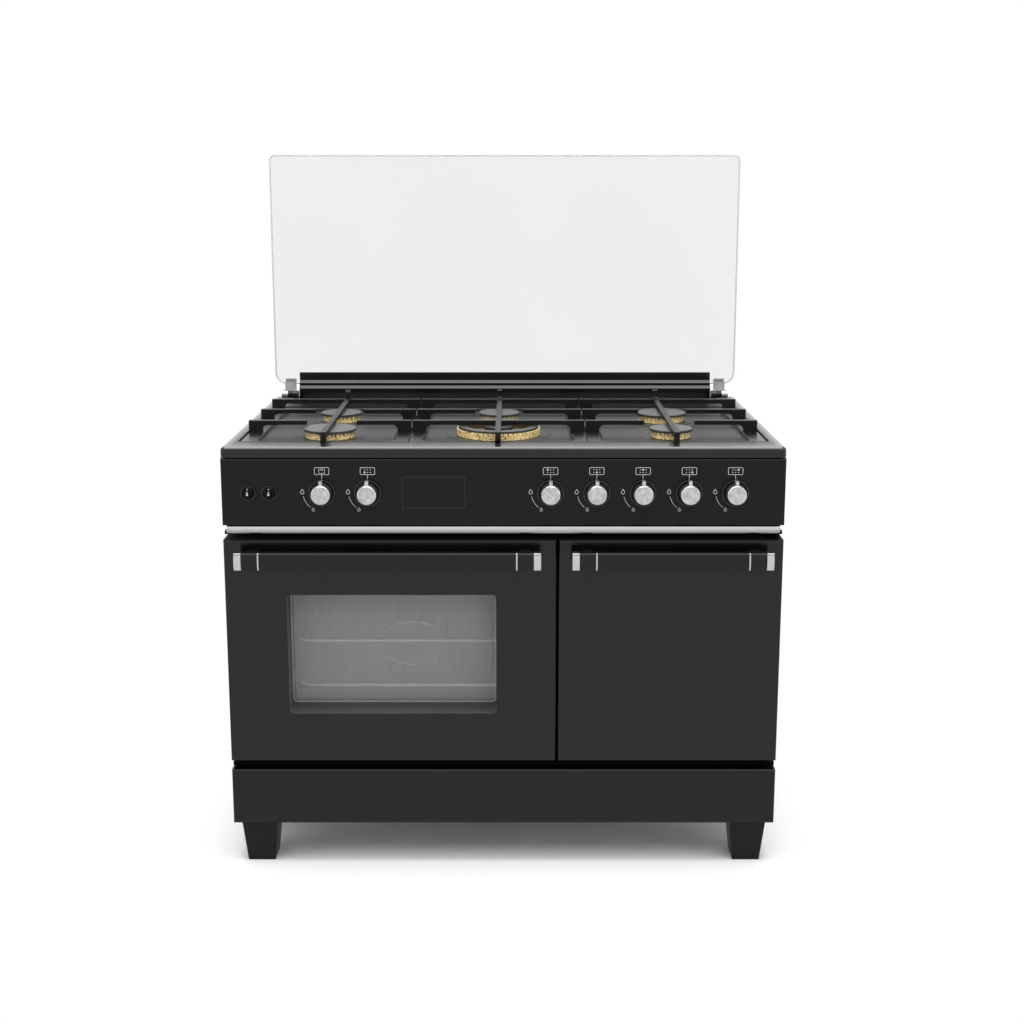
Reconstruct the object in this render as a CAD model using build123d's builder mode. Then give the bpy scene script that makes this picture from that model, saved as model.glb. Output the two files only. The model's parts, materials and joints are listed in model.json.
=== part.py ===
from build123d import *
import os

# A wide free-standing gas cooker: six-burner hob with a glass lid, an oven with a drop-down door,
# a storage cabinet beside it and a base drawer. Millimetres, +Z up, the front faces -Y,
# and the origin is on the floor below the middle of the whole outline.

# Overall size
cooker_width = 1000
body_depth = 620
handle_reach = 45
inlet_reach = 25
sheet = 2
edge_round = 3
slide_gap = 0.3
running_gap = 0.05

# Heights from the floor up
foot_height = 77
drawer_front_height = 107
drawer_gap = 17
door_height = 417
trim_gap = 14
trim_height = 13
panel_height = 121
hob_lip = 21

# Carcass
side_inset = 4
shelf_drop = 4
frame_strip = 12
frame_corner = 15
strip_setback = 14
strip_gap = 3
strip_end_gap = 1
lower_strip_height = 7
upper_strip_height = 6
ceiling_rise = 12
louvre_length = 60
louvre_height = 6
louvre_pitch_x = 84
louvre_pitch_z = 18
louvre_columns = 8
louvre_rows = 4
louvre_drop = 90
foot_top = 66
foot_bottom = 50
foot_inset = 15
foot_setback = 6

# Doors
door_depth = 50
gasket_depth = 6
gasket_width = 8
gasket_offset = 6
oven_door_width = 595
door_seam = 4
window_width = 378
window_height = 225
window_left = 110
window_rise = 91
window_corner = 8
window_lip = 1.5
window_sill_lip = 10
pane_thickness = 4
pane_setback = 38
hinge_axis_depth = 10
hinge_axis_rise = 8
hinge_pin_radius = 4
hinge_arm_width = 8
hinge_arm_height = 12
hinge_side_gap = 1
hinge_cheek_width = 10
hinge_inset = 90
cabinet_pin_inset = 12
cabinet_plate_thickness = 4
cabinet_plate_gap = 2
cabinet_pin_length = 10

# Handles
bar_height = 31
bar_depth = 18
bar_crown = 3
bar_corner = 3
bar_drop = 29
end_cap_length = 12.4
end_segment_length = 29
ring_length = 2.4
ring_stand = 0.4
post_width = 20
post_height = 20
oven_handle_insets = (26, 28.7)
cabinet_handle_insets = (22.8, 23.8)

# Oven
oven_width = 388
oven_height = 320
oven_depth = 340
oven_centre_inset = 308
oven_floor_rise = 31
oven_flange = 20
oven_emboss_width = 137
oven_emboss_height = 92
oven_emboss_rise = 66
rack_heights = (86.5, 173)
rack_setback = 22
rack_depth = 250
rack_wire = 3
rack_bar_radius = 1.5
rack_pitch = 28
ledge_width = 10
ledge_thickness = 3
oven_burner_radius = 10
oven_burner_length = 250
oven_burner_setback = 60
oven_burner_port_count = 12
saddle_width = 30
saddle_depth = 12

# Drawer
drawer_front_depth = 54
drawer_foot_gap = 2
drawer_tray_length = 500
drawer_tray_height = 70
drawer_tray_inset = 6
runner_width = 20
runner_thickness = 3
runner_rise = 22
drawer_frame_gap = 3

# Control panel
control_drop = 61
left_knob_insets = (179, 260)
right_knob_insets = (416.5, 334.8, 253.1, 171.4, 89.7)
button_insets = (48, 85.6)
knob_radius = 18.2
knob_nose_radius = 17
knob_reach = 27
knob_gap = 1
knob_edge = 2
pointer_width = 6
pointer_reach = 25
pointer_front = 24
pointer_back = 8
knob_bezel_radius = 23.5
knob_bezel_bore = 19
bezel_height = 5
spindle_radius = 4
spindle_reach = 15
button_radius = 11.5
button_reach = 9
button_travel = 3
button_stop = 0.5
button_edge = 3
button_dome_radius = 6
button_dome_rise = 2.5
button_dome_round = 2.2
button_stem_radius = 4
button_stem_length = 14
button_bezel_radius = 13.5
button_bezel_bore = 12
button_bezel_height = 4
display_width = 111
display_height = 57
display_inset = 376.25
display_flange = 3
panel_hole_gap = 1
trim_reach = 8
trim_depth = 35
trim_end_gap = 7
trim_end_round = 10

# Gas rail
rail_radius = 9
rail_setback = 40
tap_radius = 14
tap_neck_radius = 8
tap_hole_gap = 0.5
rail_overhang = 40
inlet_inset = 35
inlet_radius = 10.5
inlet_shoulder = 1

# Hob
hob_seam = 2
hob_corner = 8.6
hob_edge = 8
recess_depth = 2
recess_side = 22
recess_front = 54
recess_rear = 470
recess_corner = 14
groove_width = 3
groove_depth = 1.2
crease_width = 1.5
centre_shift = -10
well_depth = 8
well_front = 64
well_rear = 450
well_corner = 24
well_slope = 50
outer_well_margin = 52
outer_well_in = 187
centre_well_half = 139
pad_margin = 20
pad_height = 1.5
pad_slope = 60

# Burners
left_burner_inset = 178
right_burner_inset = 190
front_burner_depth = 142
wok_burner_depth = 172
rear_burner_depth = 329
crown_rise = 2
crown_height = 12
crown_wall = 6
crown_floor = 3
port_width = 1.8
port_height = 6
cap_thickness = 5
cap_edge = 1.5
rapid_crown_radius = 45
rapid_cap_radius = 49
rapid_port_count = 36
semi_crown_radius = 36
semi_cap_radius = 40
semi_port_count = 28
wok_crown_radius = 78
wok_cap_radius = 75
wok_port_count = 52
wok_ring_width = 18
wok_inner_radius = 26
wok_inner_cap_radius = 30
wok_inner_port_count = 16
cup_inset = 10
cup_flange = 4
cup_drop = 24
cup_gap = 0.5
jet_radius = 6
jet_length = 12

# Pan supports
support_half = 162
support_seam = 1.5
left_support_margin = 23
right_support_margin = 26
support_height = 22
support_bar = 8
support_bar_depth = 12
support_block = 25
support_curve = 10
support_rail_width = 8
support_rail_height = 5
support_bar_depths = (171, 306, 440)
finger_half = 47
spine_width = 10
spine_front = 38
spine_leg = 13
spine_rear = 457
horn_length = 12
horn_height = 37
spine_round = 5.5

# Rear upstand and lid
upstand_inset = 63
upstand_front = 548
upstand_step = 5
upstand_rear = 584
upstand_slot = 18
upstand_lip = 8.5
upstand_band = 5.5
upstand_slope = 5.5
upstand_height = 59.5
upstand_slant = 20
upstand_slant_drop = 17
lid_width = 990
lid_height = 484
lid_thickness = 5
lid_bottom_rise = 30
lid_top_corner = 12
lid_bottom_corner = 24
lid_depth = 600
lid_axis_rise = 14
lid_axis_lead = 52
lid_pin_radius = 4
lid_barrel_radius = 8
lid_arm_inset = 49
lid_arm_width = 23
lid_arm_thickness = 10
lid_clamp_wall = 4
lid_clamp_front = 34
lid_clamp_rear = 40
lid_clamp_gap = 0.2
pedestal_width = 12
pedestal_gap = 0.5

# Places worked out from the sizes above
half_width = cooker_width / 2
knob_xs = [inset - half_width for inset in left_knob_insets]
knob_xs += [half_width - inset for inset in right_knob_insets]
button_xs = [inset - half_width for inset in button_insets]
display_x = display_inset - half_width
inlet_x = half_width - inlet_inset
oven_centre_x = oven_centre_inset - half_width
left_burner_x = left_burner_inset - half_width
right_burner_x = half_width - right_burner_inset
outer_well_out = half_width - outer_well_margin
left_support_x = left_support_margin - half_width
right_support_x = half_width - right_support_margin
left_seam_x = centre_shift - support_half
right_seam_x = centre_shift + support_half
upstand_half = half_width - upstand_inset
lid_arm_x = half_width - lid_arm_inset
front_y = (handle_reach - body_depth - inlet_reach) / 2
back_y = front_y + body_depth
carcass_back_y = back_y - side_inset
carcass_y = front_y + door_depth + gasket_depth
inside_y = carcass_y + sheet
rear_inside_y = carcass_back_y - sheet
carcass_half = half_width - side_inset
inner_half = carcass_half - sheet
drawer_top_z = foot_height + drawer_front_height
door_bottom_z = drawer_top_z + drawer_gap
door_top_z = door_bottom_z + door_height
trim_bottom_z = door_top_z + trim_gap
panel_bottom_z = trim_bottom_z + trim_height
panel_top_z = panel_bottom_z + panel_height
hob_z = panel_top_z + hob_lip
recess_z = hob_z - recess_depth
well_z = hob_z - well_depth
hob_under_z = well_z - sheet
shelf_z = door_bottom_z - shelf_drop
control_z = panel_top_z - control_drop
oven_door_right = oven_door_width - half_width
cabinet_door_left = oven_door_right + door_seam
divider_x = oven_door_right + door_seam / 2
ceiling_z = door_top_z + ceiling_rise
oven_floor_z = door_bottom_z + oven_floor_rise
rail_y = carcass_y + rail_setback
runner_top_z = foot_height + runner_rise + runner_thickness
lid_axis_y = front_y + lid_depth - lid_axis_lead
lid_axis_z = hob_z + lid_axis_rise
lid_y = front_y + lid_depth

os.makedirs("parts", exist_ok=True)


def keep(builder, name):
    """Label a finished piece and write it out."""
    builder.part.label = name
    export_step(builder.part, f"parts/{name}.step")


def front_plane(y):
    """Upright plane seen from the front: local x is +X and local y is +Z."""
    return Plane(origin=(0, y, 0), x_dir=(1, 0, 0), z_dir=(0, -1, 0))


def panel_outline(plane, x0, x1, y0, y1, corner=0):
    """A rectangle between two corners of a plane, rounded if a corner radius is given."""
    with BuildSketch(plane) as outline:
        with Locations(((x0 + x1) / 2, (y0 + y1) / 2)):
            if corner > 0:
                RectangleRounded(x1 - x0, y1 - y0, corner)
            else:
                Rectangle(x1 - x0, y1 - y0)
    return outline.sketch


def block(x0, x1, y0, y1, z0, z1, mode=Mode.ADD):
    """A straight prism between two levels, added to the piece being built."""
    extrude(panel_outline(Plane.XY.offset(z0), x0, x1, y0, y1), amount=z1 - z0, mode=mode)


def rod_y(x, z, y0, y1, radius, mode=Mode.ADD):
    """A round rod along Y, added to the piece being built."""
    with BuildSketch(front_plane(y0)) as section:
        with Locations((x, z)):
            Circle(radius)
    extrude(section.sketch, amount=y0 - y1, mode=mode)


def rod_x(y, z, x0, x1, radius, mode=Mode.ADD):
    """A round rod along X, added to the piece being built."""
    with BuildSketch(Plane.YZ.offset(x0)) as section:
        with Locations((y, z)):
            Circle(radius)
    extrude(section.sketch, amount=x1 - x0, mode=mode)


def rod_z(x, y, z0, z1, radius, mode=Mode.ADD):
    """A round rod along Z, added to the piece being built."""
    with BuildSketch(Plane.XY.offset(z0)) as section:
        with Locations((x, y)):
            Circle(radius)
    extrude(section.sketch, amount=z1 - z0, mode=mode)


def folded_pan(piece, x0, x1, z0, z1, depth):
    """A front of folded sheet: rounded face, flanges turned back, open behind."""
    extrude(panel_outline(front_plane(front_y), x0, x1, z0, z1), amount=-depth)
    fillet(piece.faces().sort_by(Axis.Y)[0].edges(), edge_round)
    offset(amount=-sheet, openings=piece.faces().sort_by(Axis.Y)[-1])


# Feet: tapered square blocks under the four corners
with BuildPart() as feet:
    for side in (-1, 1):
        for foot_y in (front_y + foot_setback + foot_top / 2, back_y - foot_setback - foot_top / 2):
            foot_x = side * (half_width - foot_inset - foot_top / 2)
            with BuildSketch(Plane((foot_x, foot_y, 0))) as foot_sole:
                Rectangle(foot_bottom, foot_bottom)
            with BuildSketch(Plane((foot_x, foot_y, foot_height))) as foot_head:
                Rectangle(foot_top, foot_top)
            loft([foot_sole.sketch.face(), foot_head.sketch.face()])
keep(feet, "feet")

# Base frame: a sheet box round the drawer, open in front, with a ledge each side for the tray
with BuildPart() as base_frame:
    block(-inner_half, inner_half, inside_y, rear_inside_y, foot_height, shelf_z)
    offset(amount=-sheet, openings=base_frame.faces().sort_by(Axis.Y)[0])
    for side in (-1, 1):
        wall_x = side * (inner_half - sheet)
        ledge_x = wall_x - side * runner_width
        block(
            min(wall_x, ledge_x),
            max(wall_x, ledge_x),
            inside_y,
            rear_inside_y - sheet,
            runner_top_z - runner_thickness,
            runner_top_z,
        )
keep(base_frame, "base_frame")

# Side panels: plain sheets from the base to the underside of the hob
for side, name in ((-1, "left"), (1, "right")):
    with BuildPart() as side_panel:
        edge_x = side * carcass_half
        face_x = side * inner_half
        block(min(edge_x, face_x), max(edge_x, face_x), carcass_y, carcass_back_y, foot_height, hob_under_z)
    keep(side_panel, f"side_panel_{name}")

# Back panel with rows of louvre slots and a hole for the gas inlet
with BuildPart() as back_panel:
    block(-inner_half, inner_half, rear_inside_y, carcass_back_y, foot_height, hob_under_z)
    with BuildSketch(front_plane(carcass_back_y)) as louvres:
        with Locations((0, hob_under_z - louvre_drop)):
            with GridLocations(louvre_pitch_x, louvre_pitch_z, louvre_columns, louvre_rows):
                SlotOverall(louvre_length, louvre_height)
    extrude(louvres.sketch, amount=sheet, mode=Mode.SUBTRACT)
    rod_y(inlet_x, control_z, rear_inside_y, carcass_back_y, rail_radius + tap_hole_gap, Mode.SUBTRACT)
keep(back_panel, "back_panel")

# Divider: an upright wall beside the oven, folded over into the cabinet's ceiling
with BuildPart() as divider_panel:
    with BuildSketch(front_plane(inside_y)) as divider_section:
        with BuildLine():
            wall_left = divider_x - sheet / 2
            wall_right = divider_x + sheet / 2
            Polyline(
                (wall_left, shelf_z),
                (wall_left, ceiling_z),
                (inner_half, ceiling_z),
                (inner_half, ceiling_z - sheet),
                (wall_right, ceiling_z - sheet),
                (wall_right, shelf_z),
                close=True,
            )
        make_face()
    extrude(divider_section.sketch, amount=inside_y - rear_inside_y)
keep(divider_panel, "divider_panel")

# Front frame: one sheet with the openings of the drawer, oven and cabinet and the tap holes,
# and a cross strip in front of it above the drawer and below the trim
tray_half = inner_half - sheet - drawer_tray_inset
tray_bottom_z = runner_top_z + slide_gap
tray_top_z = tray_bottom_z + drawer_tray_height
with BuildPart() as front_frame:
    extrude(
        panel_outline(front_plane(carcass_y), -inner_half, inner_half, foot_height, hob_under_z),
        amount=-sheet,
    )
    drawer_mouth = panel_outline(
        front_plane(carcass_y),
        -tray_half - drawer_frame_gap,
        tray_half + drawer_frame_gap,
        tray_bottom_z - drawer_frame_gap,
        tray_top_z + drawer_frame_gap,
    )
    oven_mouth = panel_outline(
        front_plane(carcass_y),
        oven_centre_x - oven_width / 2,
        oven_centre_x + oven_width / 2,
        oven_floor_z,
        oven_floor_z + oven_height,
        frame_corner,
    )
    cabinet_mouth = panel_outline(
        front_plane(carcass_y),
        divider_x + frame_strip,
        inner_half - frame_strip,
        shelf_z + frame_strip,
        ceiling_z - sheet - frame_strip,
        frame_corner,
    )
    lower_strip_z = drawer_top_z + strip_gap
    strips = (
        (lower_strip_z, lower_strip_z + lower_strip_height),
        (trim_bottom_z - upper_strip_height, trim_bottom_z),
    )
    strip_half = half_width - strip_end_gap
    for strip_z0, strip_z1 in strips:
        block(-strip_half, strip_half, front_y + strip_setback, carcass_y, strip_z0, strip_z1)
    for mouth in (drawer_mouth, oven_mouth, cabinet_mouth):
        extrude(mouth, amount=-sheet, mode=Mode.SUBTRACT)
    for x in knob_xs:
        rod_y(x, control_z, carcass_y, inside_y, tap_neck_radius + tap_hole_gap, Mode.SUBTRACT)
    for x in button_xs:
        rod_y(x, control_z, carcass_y, inside_y, button_stem_radius + panel_hole_gap, Mode.SUBTRACT)
keep(front_frame, "front_frame")

# Oven cavity: rounded box with a mouth flange, pressed rack ledges and an oval on the back wall
oven_left = oven_centre_x - oven_width / 2
oven_right = oven_centre_x + oven_width / 2
oven_back_y = inside_y + oven_depth
with BuildPart() as oven_cavity:
    extrude(
        panel_outline(
            front_plane(inside_y),
            oven_left - oven_flange,
            oven_right + oven_flange,
            oven_floor_z - oven_flange,
            oven_floor_z + oven_height + oven_flange,
            frame_corner,
        ),
        amount=-sheet,
    )
    extrude(
        panel_outline(
            front_plane(inside_y),
            oven_left - sheet,
            oven_right + sheet,
            oven_floor_z - sheet,
            oven_floor_z + oven_height + sheet,
            frame_corner + sheet,
        ),
        amount=-oven_depth - sheet,
    )
    extrude(
        panel_outline(
            front_plane(inside_y),
            oven_left,
            oven_right,
            oven_floor_z,
            oven_floor_z + oven_height,
            frame_corner,
        ),
        amount=-oven_depth,
        mode=Mode.SUBTRACT,
    )
    with BuildSketch(front_plane(oven_back_y)) as oven_emboss:
        with Locations((oven_centre_x, oven_floor_z + oven_emboss_rise)):
            Ellipse(oven_emboss_width / 2, oven_emboss_height / 2)
    extrude(oven_emboss.sketch, amount=sheet)
    for rise in rack_heights:
        ledge_top_z = oven_floor_z + rise - rack_wire - slide_gap
        for wall_x, ledge_x in ((oven_left, oven_left + ledge_width), (oven_right, oven_right - ledge_width)):
            block(
                min(wall_x, ledge_x),
                max(wall_x, ledge_x),
                inside_y + rack_setback,
                oven_back_y,
                ledge_top_z - ledge_thickness,
                ledge_top_z,
            )
keep(oven_cavity, "oven_cavity")

# Oven racks: a wire frame with thinner bars from front to back, resting on the ledges
rack_half = oven_width / 2 - ledge_width + rack_wire
rack_bars = int(2 * rack_half / rack_pitch)
rack_front_y = inside_y + rack_setback
rack_rear_y = rack_front_y + rack_depth
for rise, name in zip(rack_heights, ("lower", "upper")):
    rack_z = oven_floor_z + rise
    with BuildPart() as oven_rack:
        with BuildLine() as rack_path:
            FilletPolyline(
                (oven_centre_x + rack_half, rack_front_y, rack_z),
                (oven_centre_x + rack_half, rack_rear_y, rack_z),
                (oven_centre_x - rack_half, rack_rear_y, rack_z),
                (oven_centre_x - rack_half, rack_front_y, rack_z),
                radius=frame_corner,
                close=True,
            )
        with BuildSketch(Plane(rack_path.line @ 0, z_dir=rack_path.line % 0)) as wire_section:
            Circle(rack_wire)
        sweep(wire_section.sketch, path=rack_path.line)
        for index in range(rack_bars):
            bar_x = oven_centre_x + (index - (rack_bars - 1) / 2) * rack_pitch
            rod_y(bar_x, rack_z, rack_front_y, rack_rear_y, rack_bar_radius)
    keep(oven_rack, f"oven_rack_{name}")

# Oven burner: a tube with flame slots under the oven floor, on two saddles
with BuildPart() as oven_burner:
    tube_z = (shelf_z + oven_floor_z - sheet) / 2
    tube_front_y = inside_y + oven_burner_setback
    rod_y(oven_centre_x, tube_z, tube_front_y, tube_front_y + oven_burner_length, oven_burner_radius)
    port_pitch = oven_burner_length / (oven_burner_port_count + 1)
    for index in range(oven_burner_port_count):
        port_y = tube_front_y + (index + 1) * port_pitch
        block(
            oven_centre_x - oven_burner_radius,
            oven_centre_x + oven_burner_radius,
            port_y - port_width / 2,
            port_y + port_width / 2,
            tube_z + oven_burner_radius / 2,
            tube_z + oven_burner_radius,
            Mode.SUBTRACT,
        )
    for saddle_y in (tube_front_y, tube_front_y + oven_burner_length - saddle_depth):
        block(
            oven_centre_x - saddle_width / 2,
            oven_centre_x + saddle_width / 2,
            saddle_y,
            saddle_y + saddle_depth,
            shelf_z,
            tube_z,
        )
keep(oven_burner, "oven_burner")

# Oven gasket: a soft ring round the mouth, just short of the closed door
with BuildPart() as oven_gasket:
    ring_in = gasket_offset
    ring_out = gasket_offset + gasket_width
    for margin, mode in ((ring_out, Mode.ADD), (ring_in, Mode.SUBTRACT)):
        ring = panel_outline(
            front_plane(carcass_y),
            oven_left - margin,
            oven_right + margin,
            oven_floor_z - margin,
            oven_floor_z + oven_height + margin,
            frame_corner + margin,
        )
        extrude(ring, amount=gasket_depth - slide_gap, mode=mode)
keep(oven_gasket, "oven_gasket")

# Control panel with spindle holes, button holes and the display's cut-out
with BuildPart() as control_panel:
    folded_pan(control_panel, -half_width, half_width, panel_bottom_z, panel_top_z, door_depth + gasket_depth)
    for x in knob_xs:
        rod_y(x, control_z, front_y, front_y + sheet, spindle_radius + panel_hole_gap, Mode.SUBTRACT)
    for x in button_xs:
        rod_y(x, control_z, front_y, front_y + sheet, button_stem_radius + running_gap, Mode.SUBTRACT)
    display_hole = panel_outline(
        front_plane(front_y),
        display_x - display_width / 2 - slide_gap,
        display_x + display_width / 2 + slide_gap,
        control_z - display_height / 2 - slide_gap,
        control_z + display_height / 2 + slide_gap,
    )
    extrude(display_hole, amount=-sheet, mode=Mode.SUBTRACT)
keep(control_panel, "control_panel")

# Display window: a blank pane flush with the panel, with a flange behind the sheet
with BuildPart() as display_window:
    for margin, y, depth in ((0, front_y, sheet), (display_flange, front_y + sheet, sheet)):
        pane = panel_outline(
            front_plane(y),
            display_x - display_width / 2 - margin,
            display_x + display_width / 2 + margin,
            control_z - display_height / 2 - margin,
            control_z + display_height / 2 + margin,
        )
        extrude(pane, amount=-depth)
keep(display_window, "display_window")

# Chrome trim: a rail under the control panel with rounded ends
with BuildPart() as chrome_trim:
    block(
        trim_end_gap - half_width,
        half_width - trim_end_gap,
        front_y - trim_reach,
        front_y - trim_reach + trim_depth,
        trim_bottom_z,
        panel_bottom_z,
    )
    trim_front = chrome_trim.faces().sort_by(Axis.Y)[0]
    fillet(trim_front.edges().filter_by(Axis.Z), trim_end_round)
    fillet(chrome_trim.faces().sort_by(Axis.Z)[0].edges().sort_by(Axis.Y)[0], edge_round)
keep(chrome_trim, "chrome_trim")

# Bezels: dark rings round the knobs and the two buttons
with BuildPart() as control_bezels:
    for x in knob_xs:
        rod_y(x, control_z, front_y - bezel_height, front_y, knob_bezel_radius)
        rod_y(x, control_z, front_y - bezel_height, front_y, knob_bezel_bore, Mode.SUBTRACT)
    for x in button_xs:
        rod_y(x, control_z, front_y - button_bezel_height, front_y, button_bezel_radius)
        rod_y(x, control_z, front_y - button_bezel_height, front_y, button_bezel_bore, Mode.SUBTRACT)
keep(control_bezels, "control_bezels")

# Knobs: a turned disc with a pointer ridge, on the tap's spindle
for index, x in enumerate(knob_xs, start=1):
    with BuildPart() as knob:
        with BuildSketch(Plane((x, front_y, control_z), x_dir=(1, 0, 0), z_dir=(0, 0, 1))) as knob_half:
            with BuildLine():
                Polyline(
                    (0, -knob_gap),
                    (knob_radius, -knob_gap),
                    (knob_nose_radius, -knob_reach),
                    (0, -knob_reach),
                    close=True,
                )
            make_face()
            fillet(knob_half.vertices().sort_by(Axis.Y)[:2].sort_by(Axis.X)[-1], knob_edge)
        revolve(knob_half.sketch, axis=Axis((x, front_y, control_z), (0, 1, 0)))
        extrude(
            panel_outline(
                front_plane(front_y - pointer_front),
                x - pointer_width / 2,
                x + pointer_width / 2,
                control_z + knob_nose_radius / 2,
                control_z + pointer_reach,
            ),
            amount=pointer_back - pointer_front,
        )
        rod_y(
            x,
            control_z,
            front_y - spindle_reach - knob_gap,
            front_y - knob_gap,
            spindle_radius + running_gap,
            Mode.SUBTRACT,
        )
    keep(knob, f"knob_{index}")

# Push buttons: a rounded cap with a domed centre, on a stem that runs in the panel
for index, x in enumerate(button_xs, start=1):
    with BuildPart() as button:
        cap_back_y = front_y - button_travel - button_stop
        cap_front_y = front_y - button_reach
        rod_y(x, control_z, cap_front_y, cap_back_y, button_radius)
        fillet(button.faces().sort_by(Axis.Y)[0].edges(), button_edge)
        rod_y(x, control_z, cap_front_y - button_dome_rise, cap_front_y, button_dome_radius)
        fillet(button.faces().sort_by(Axis.Y)[0].edges(), button_dome_round)
        rod_y(x, control_z, cap_back_y, cap_back_y + button_stem_length, button_stem_radius)
    keep(button, f"button_{index}")

# Gas manifold: rail with taps and spindles, and a pipe run back to the threaded inlet
with BuildPart() as gas_manifold:
    with BuildLine() as pipe_path:
        FilletPolyline(
            (knob_xs[0] - rail_overhang, rail_y, control_z),
            (inlet_x, rail_y, control_z),
            (inlet_x, back_y + inlet_reach, control_z),
            radius=3 * rail_radius,
        )
    with BuildSketch(Plane(pipe_path.line @ 0, z_dir=pipe_path.line % 0)) as pipe_section:
        Circle(rail_radius)
    sweep(pipe_section.sketch, path=pipe_path.line)
    inlet_end_y = back_y + inlet_reach
    rod_y(inlet_x, control_z, carcass_back_y + inlet_shoulder, inlet_end_y, inlet_radius)
    for x in knob_xs:
        rod_y(x, control_z, inside_y, rail_y, tap_radius)
        rod_y(x, control_z, front_y + 2 * sheet, inside_y, tap_neck_radius)
        rod_y(x, control_z, front_y - spindle_reach, front_y + 2 * sheet, spindle_radius)
keep(gas_manifold, "gas_manifold")


def recess_outline(z, margin):
    """The rounded outline of the hob's recess at a level, drawn in by a margin."""
    return panel_outline(
        Plane.XY.offset(z),
        recess_side - half_width + margin,
        half_width - recess_side - margin,
        front_y + recess_front + margin,
        front_y + recess_rear - margin,
        recess_corner - margin,
    )


# Hob top: pressed tray with a shallow recess inside a groove, creases between its three sloped
# wells, and a raised pad round each burner hole
burner_places = {
    "left_front": (left_burner_x, front_burner_depth, rapid_crown_radius, rapid_cap_radius, rapid_port_count),
    "left_rear": (left_burner_x, rear_burner_depth, semi_crown_radius, semi_cap_radius, semi_port_count),
    "centre_front": (centre_shift, wok_burner_depth, wok_crown_radius, wok_cap_radius, wok_port_count),
    "centre_rear": (centre_shift, rear_burner_depth, semi_crown_radius, semi_cap_radius, semi_port_count),
    "right_front": (right_burner_x, front_burner_depth, semi_crown_radius, semi_cap_radius, semi_port_count),
    "right_rear": (right_burner_x, rear_burner_depth, rapid_crown_radius, rapid_cap_radius, rapid_port_count),
}
with BuildPart() as hob_top:
    lip_z = panel_top_z + hob_seam
    extrude(
        panel_outline(Plane.XY.offset(lip_z), -half_width, half_width, front_y, back_y, hob_corner),
        amount=hob_z - lip_z,
    )
    fillet(hob_top.faces().sort_by(Axis.Z)[-1].edges(), hob_edge)
    hollow = panel_outline(
        Plane.XY.offset(lip_z),
        sheet - half_width,
        half_width - sheet,
        front_y + sheet,
        back_y - sheet,
        hob_corner - sheet,
    )
    extrude(hollow, amount=hob_under_z - lip_z, mode=Mode.SUBTRACT)
    extrude(recess_outline(hob_z, 0), amount=-recess_depth, mode=Mode.SUBTRACT)
    groove = recess_outline(recess_z, 0) - recess_outline(recess_z, groove_width)
    extrude(groove, amount=-groove_depth, mode=Mode.SUBTRACT)
    for crease_x in (left_seam_x, right_seam_x):
        block(
            crease_x - crease_width / 2,
            crease_x + crease_width / 2,
            front_y + recess_front,
            front_y + recess_rear,
            recess_z - groove_depth,
            recess_z,
            Mode.SUBTRACT,
        )
    well_spans = (
        (-outer_well_out, centre_shift - outer_well_in),
        (centre_shift - centre_well_half, centre_shift + centre_well_half),
        (centre_shift + outer_well_in, outer_well_out),
    )
    for well_left, well_right in well_spans:
        well = panel_outline(
            Plane.XY.offset(recess_z),
            well_left,
            well_right,
            front_y + well_front,
            front_y + well_rear,
            well_corner,
        )
        extrude(well, amount=-(well_depth - recess_depth), taper=well_slope, mode=Mode.SUBTRACT)
    pad_z = well_z + pad_height
    for x, depth, crown_radius, cap_radius, ports in burner_places.values():
        burner_y = front_y + depth
        with BuildSketch(Plane((x, burner_y, well_z))) as burner_pad:
            Circle(crown_radius + pad_margin)
        extrude(burner_pad.sketch, amount=pad_height, taper=pad_slope)
        rod_z(x, burner_y, hob_under_z, pad_z, crown_radius - cup_inset + cup_gap, Mode.SUBTRACT)
keep(hob_top, "hob_top")

# Burner cups: turned bodies that hang under the hob and carry the crowns
crown_z = well_z + crown_rise
cap_z = crown_z + crown_height
with BuildPart() as burner_cups:
    for x, depth, crown_radius, cap_radius, ports in burner_places.values():
        cup_y = front_y + depth
        rod_z(x, cup_y, hob_under_z - cup_drop, crown_z, crown_radius - cup_inset)
        rod_z(x, cup_y, hob_under_z - cup_flange, hob_under_z, crown_radius)
        rod_z(x, cup_y, hob_under_z - cup_drop - jet_length, hob_under_z - cup_drop, jet_radius)
keep(burner_cups, "burner_cups")


def cut_ports(x, y, radius, count):
    """Radial flame slots through a crown wall, from its rim downwards."""
    with BuildSketch(Plane.XY.offset(cap_z - port_height)) as slots:
        with Locations((x, y)):
            with PolarLocations(radius - crown_wall / 2, count):
                Rectangle(2 * crown_wall, port_width)
    extrude(slots.sketch, amount=port_height, mode=Mode.SUBTRACT)


def ring_wall(x, y, outer, inner):
    """A round wall standing on the crown's floor, up to the cap."""
    with BuildSketch(Plane.XY.offset(crown_z)) as wall:
        with Locations((x, y)):
            Circle(outer)
            Circle(inner, mode=Mode.SUBTRACT)
    extrude(wall.sketch, amount=crown_height)


# Burner crowns: brass rings with flame ports all round; the centre front one has two rings
for name, (x, depth, crown_radius, cap_radius, ports) in burner_places.items():
    crown_y = front_y + depth
    with BuildPart() as crown:
        rod_z(x, crown_y, crown_z, crown_z + crown_floor, crown_radius)
        ring_wall(x, crown_y, crown_radius, crown_radius - crown_wall)
        cut_ports(x, crown_y, crown_radius, ports)
        if name == "centre_front":
            ring_wall(x, crown_y, wok_inner_radius, wok_inner_radius - crown_wall)
            cut_ports(x, crown_y, wok_inner_radius, wok_inner_port_count)
            ring_wall(x, crown_y, crown_radius - wok_ring_width + crown_wall, crown_radius - wok_ring_width)
    keep(crown, f"{name}_crown")

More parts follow.
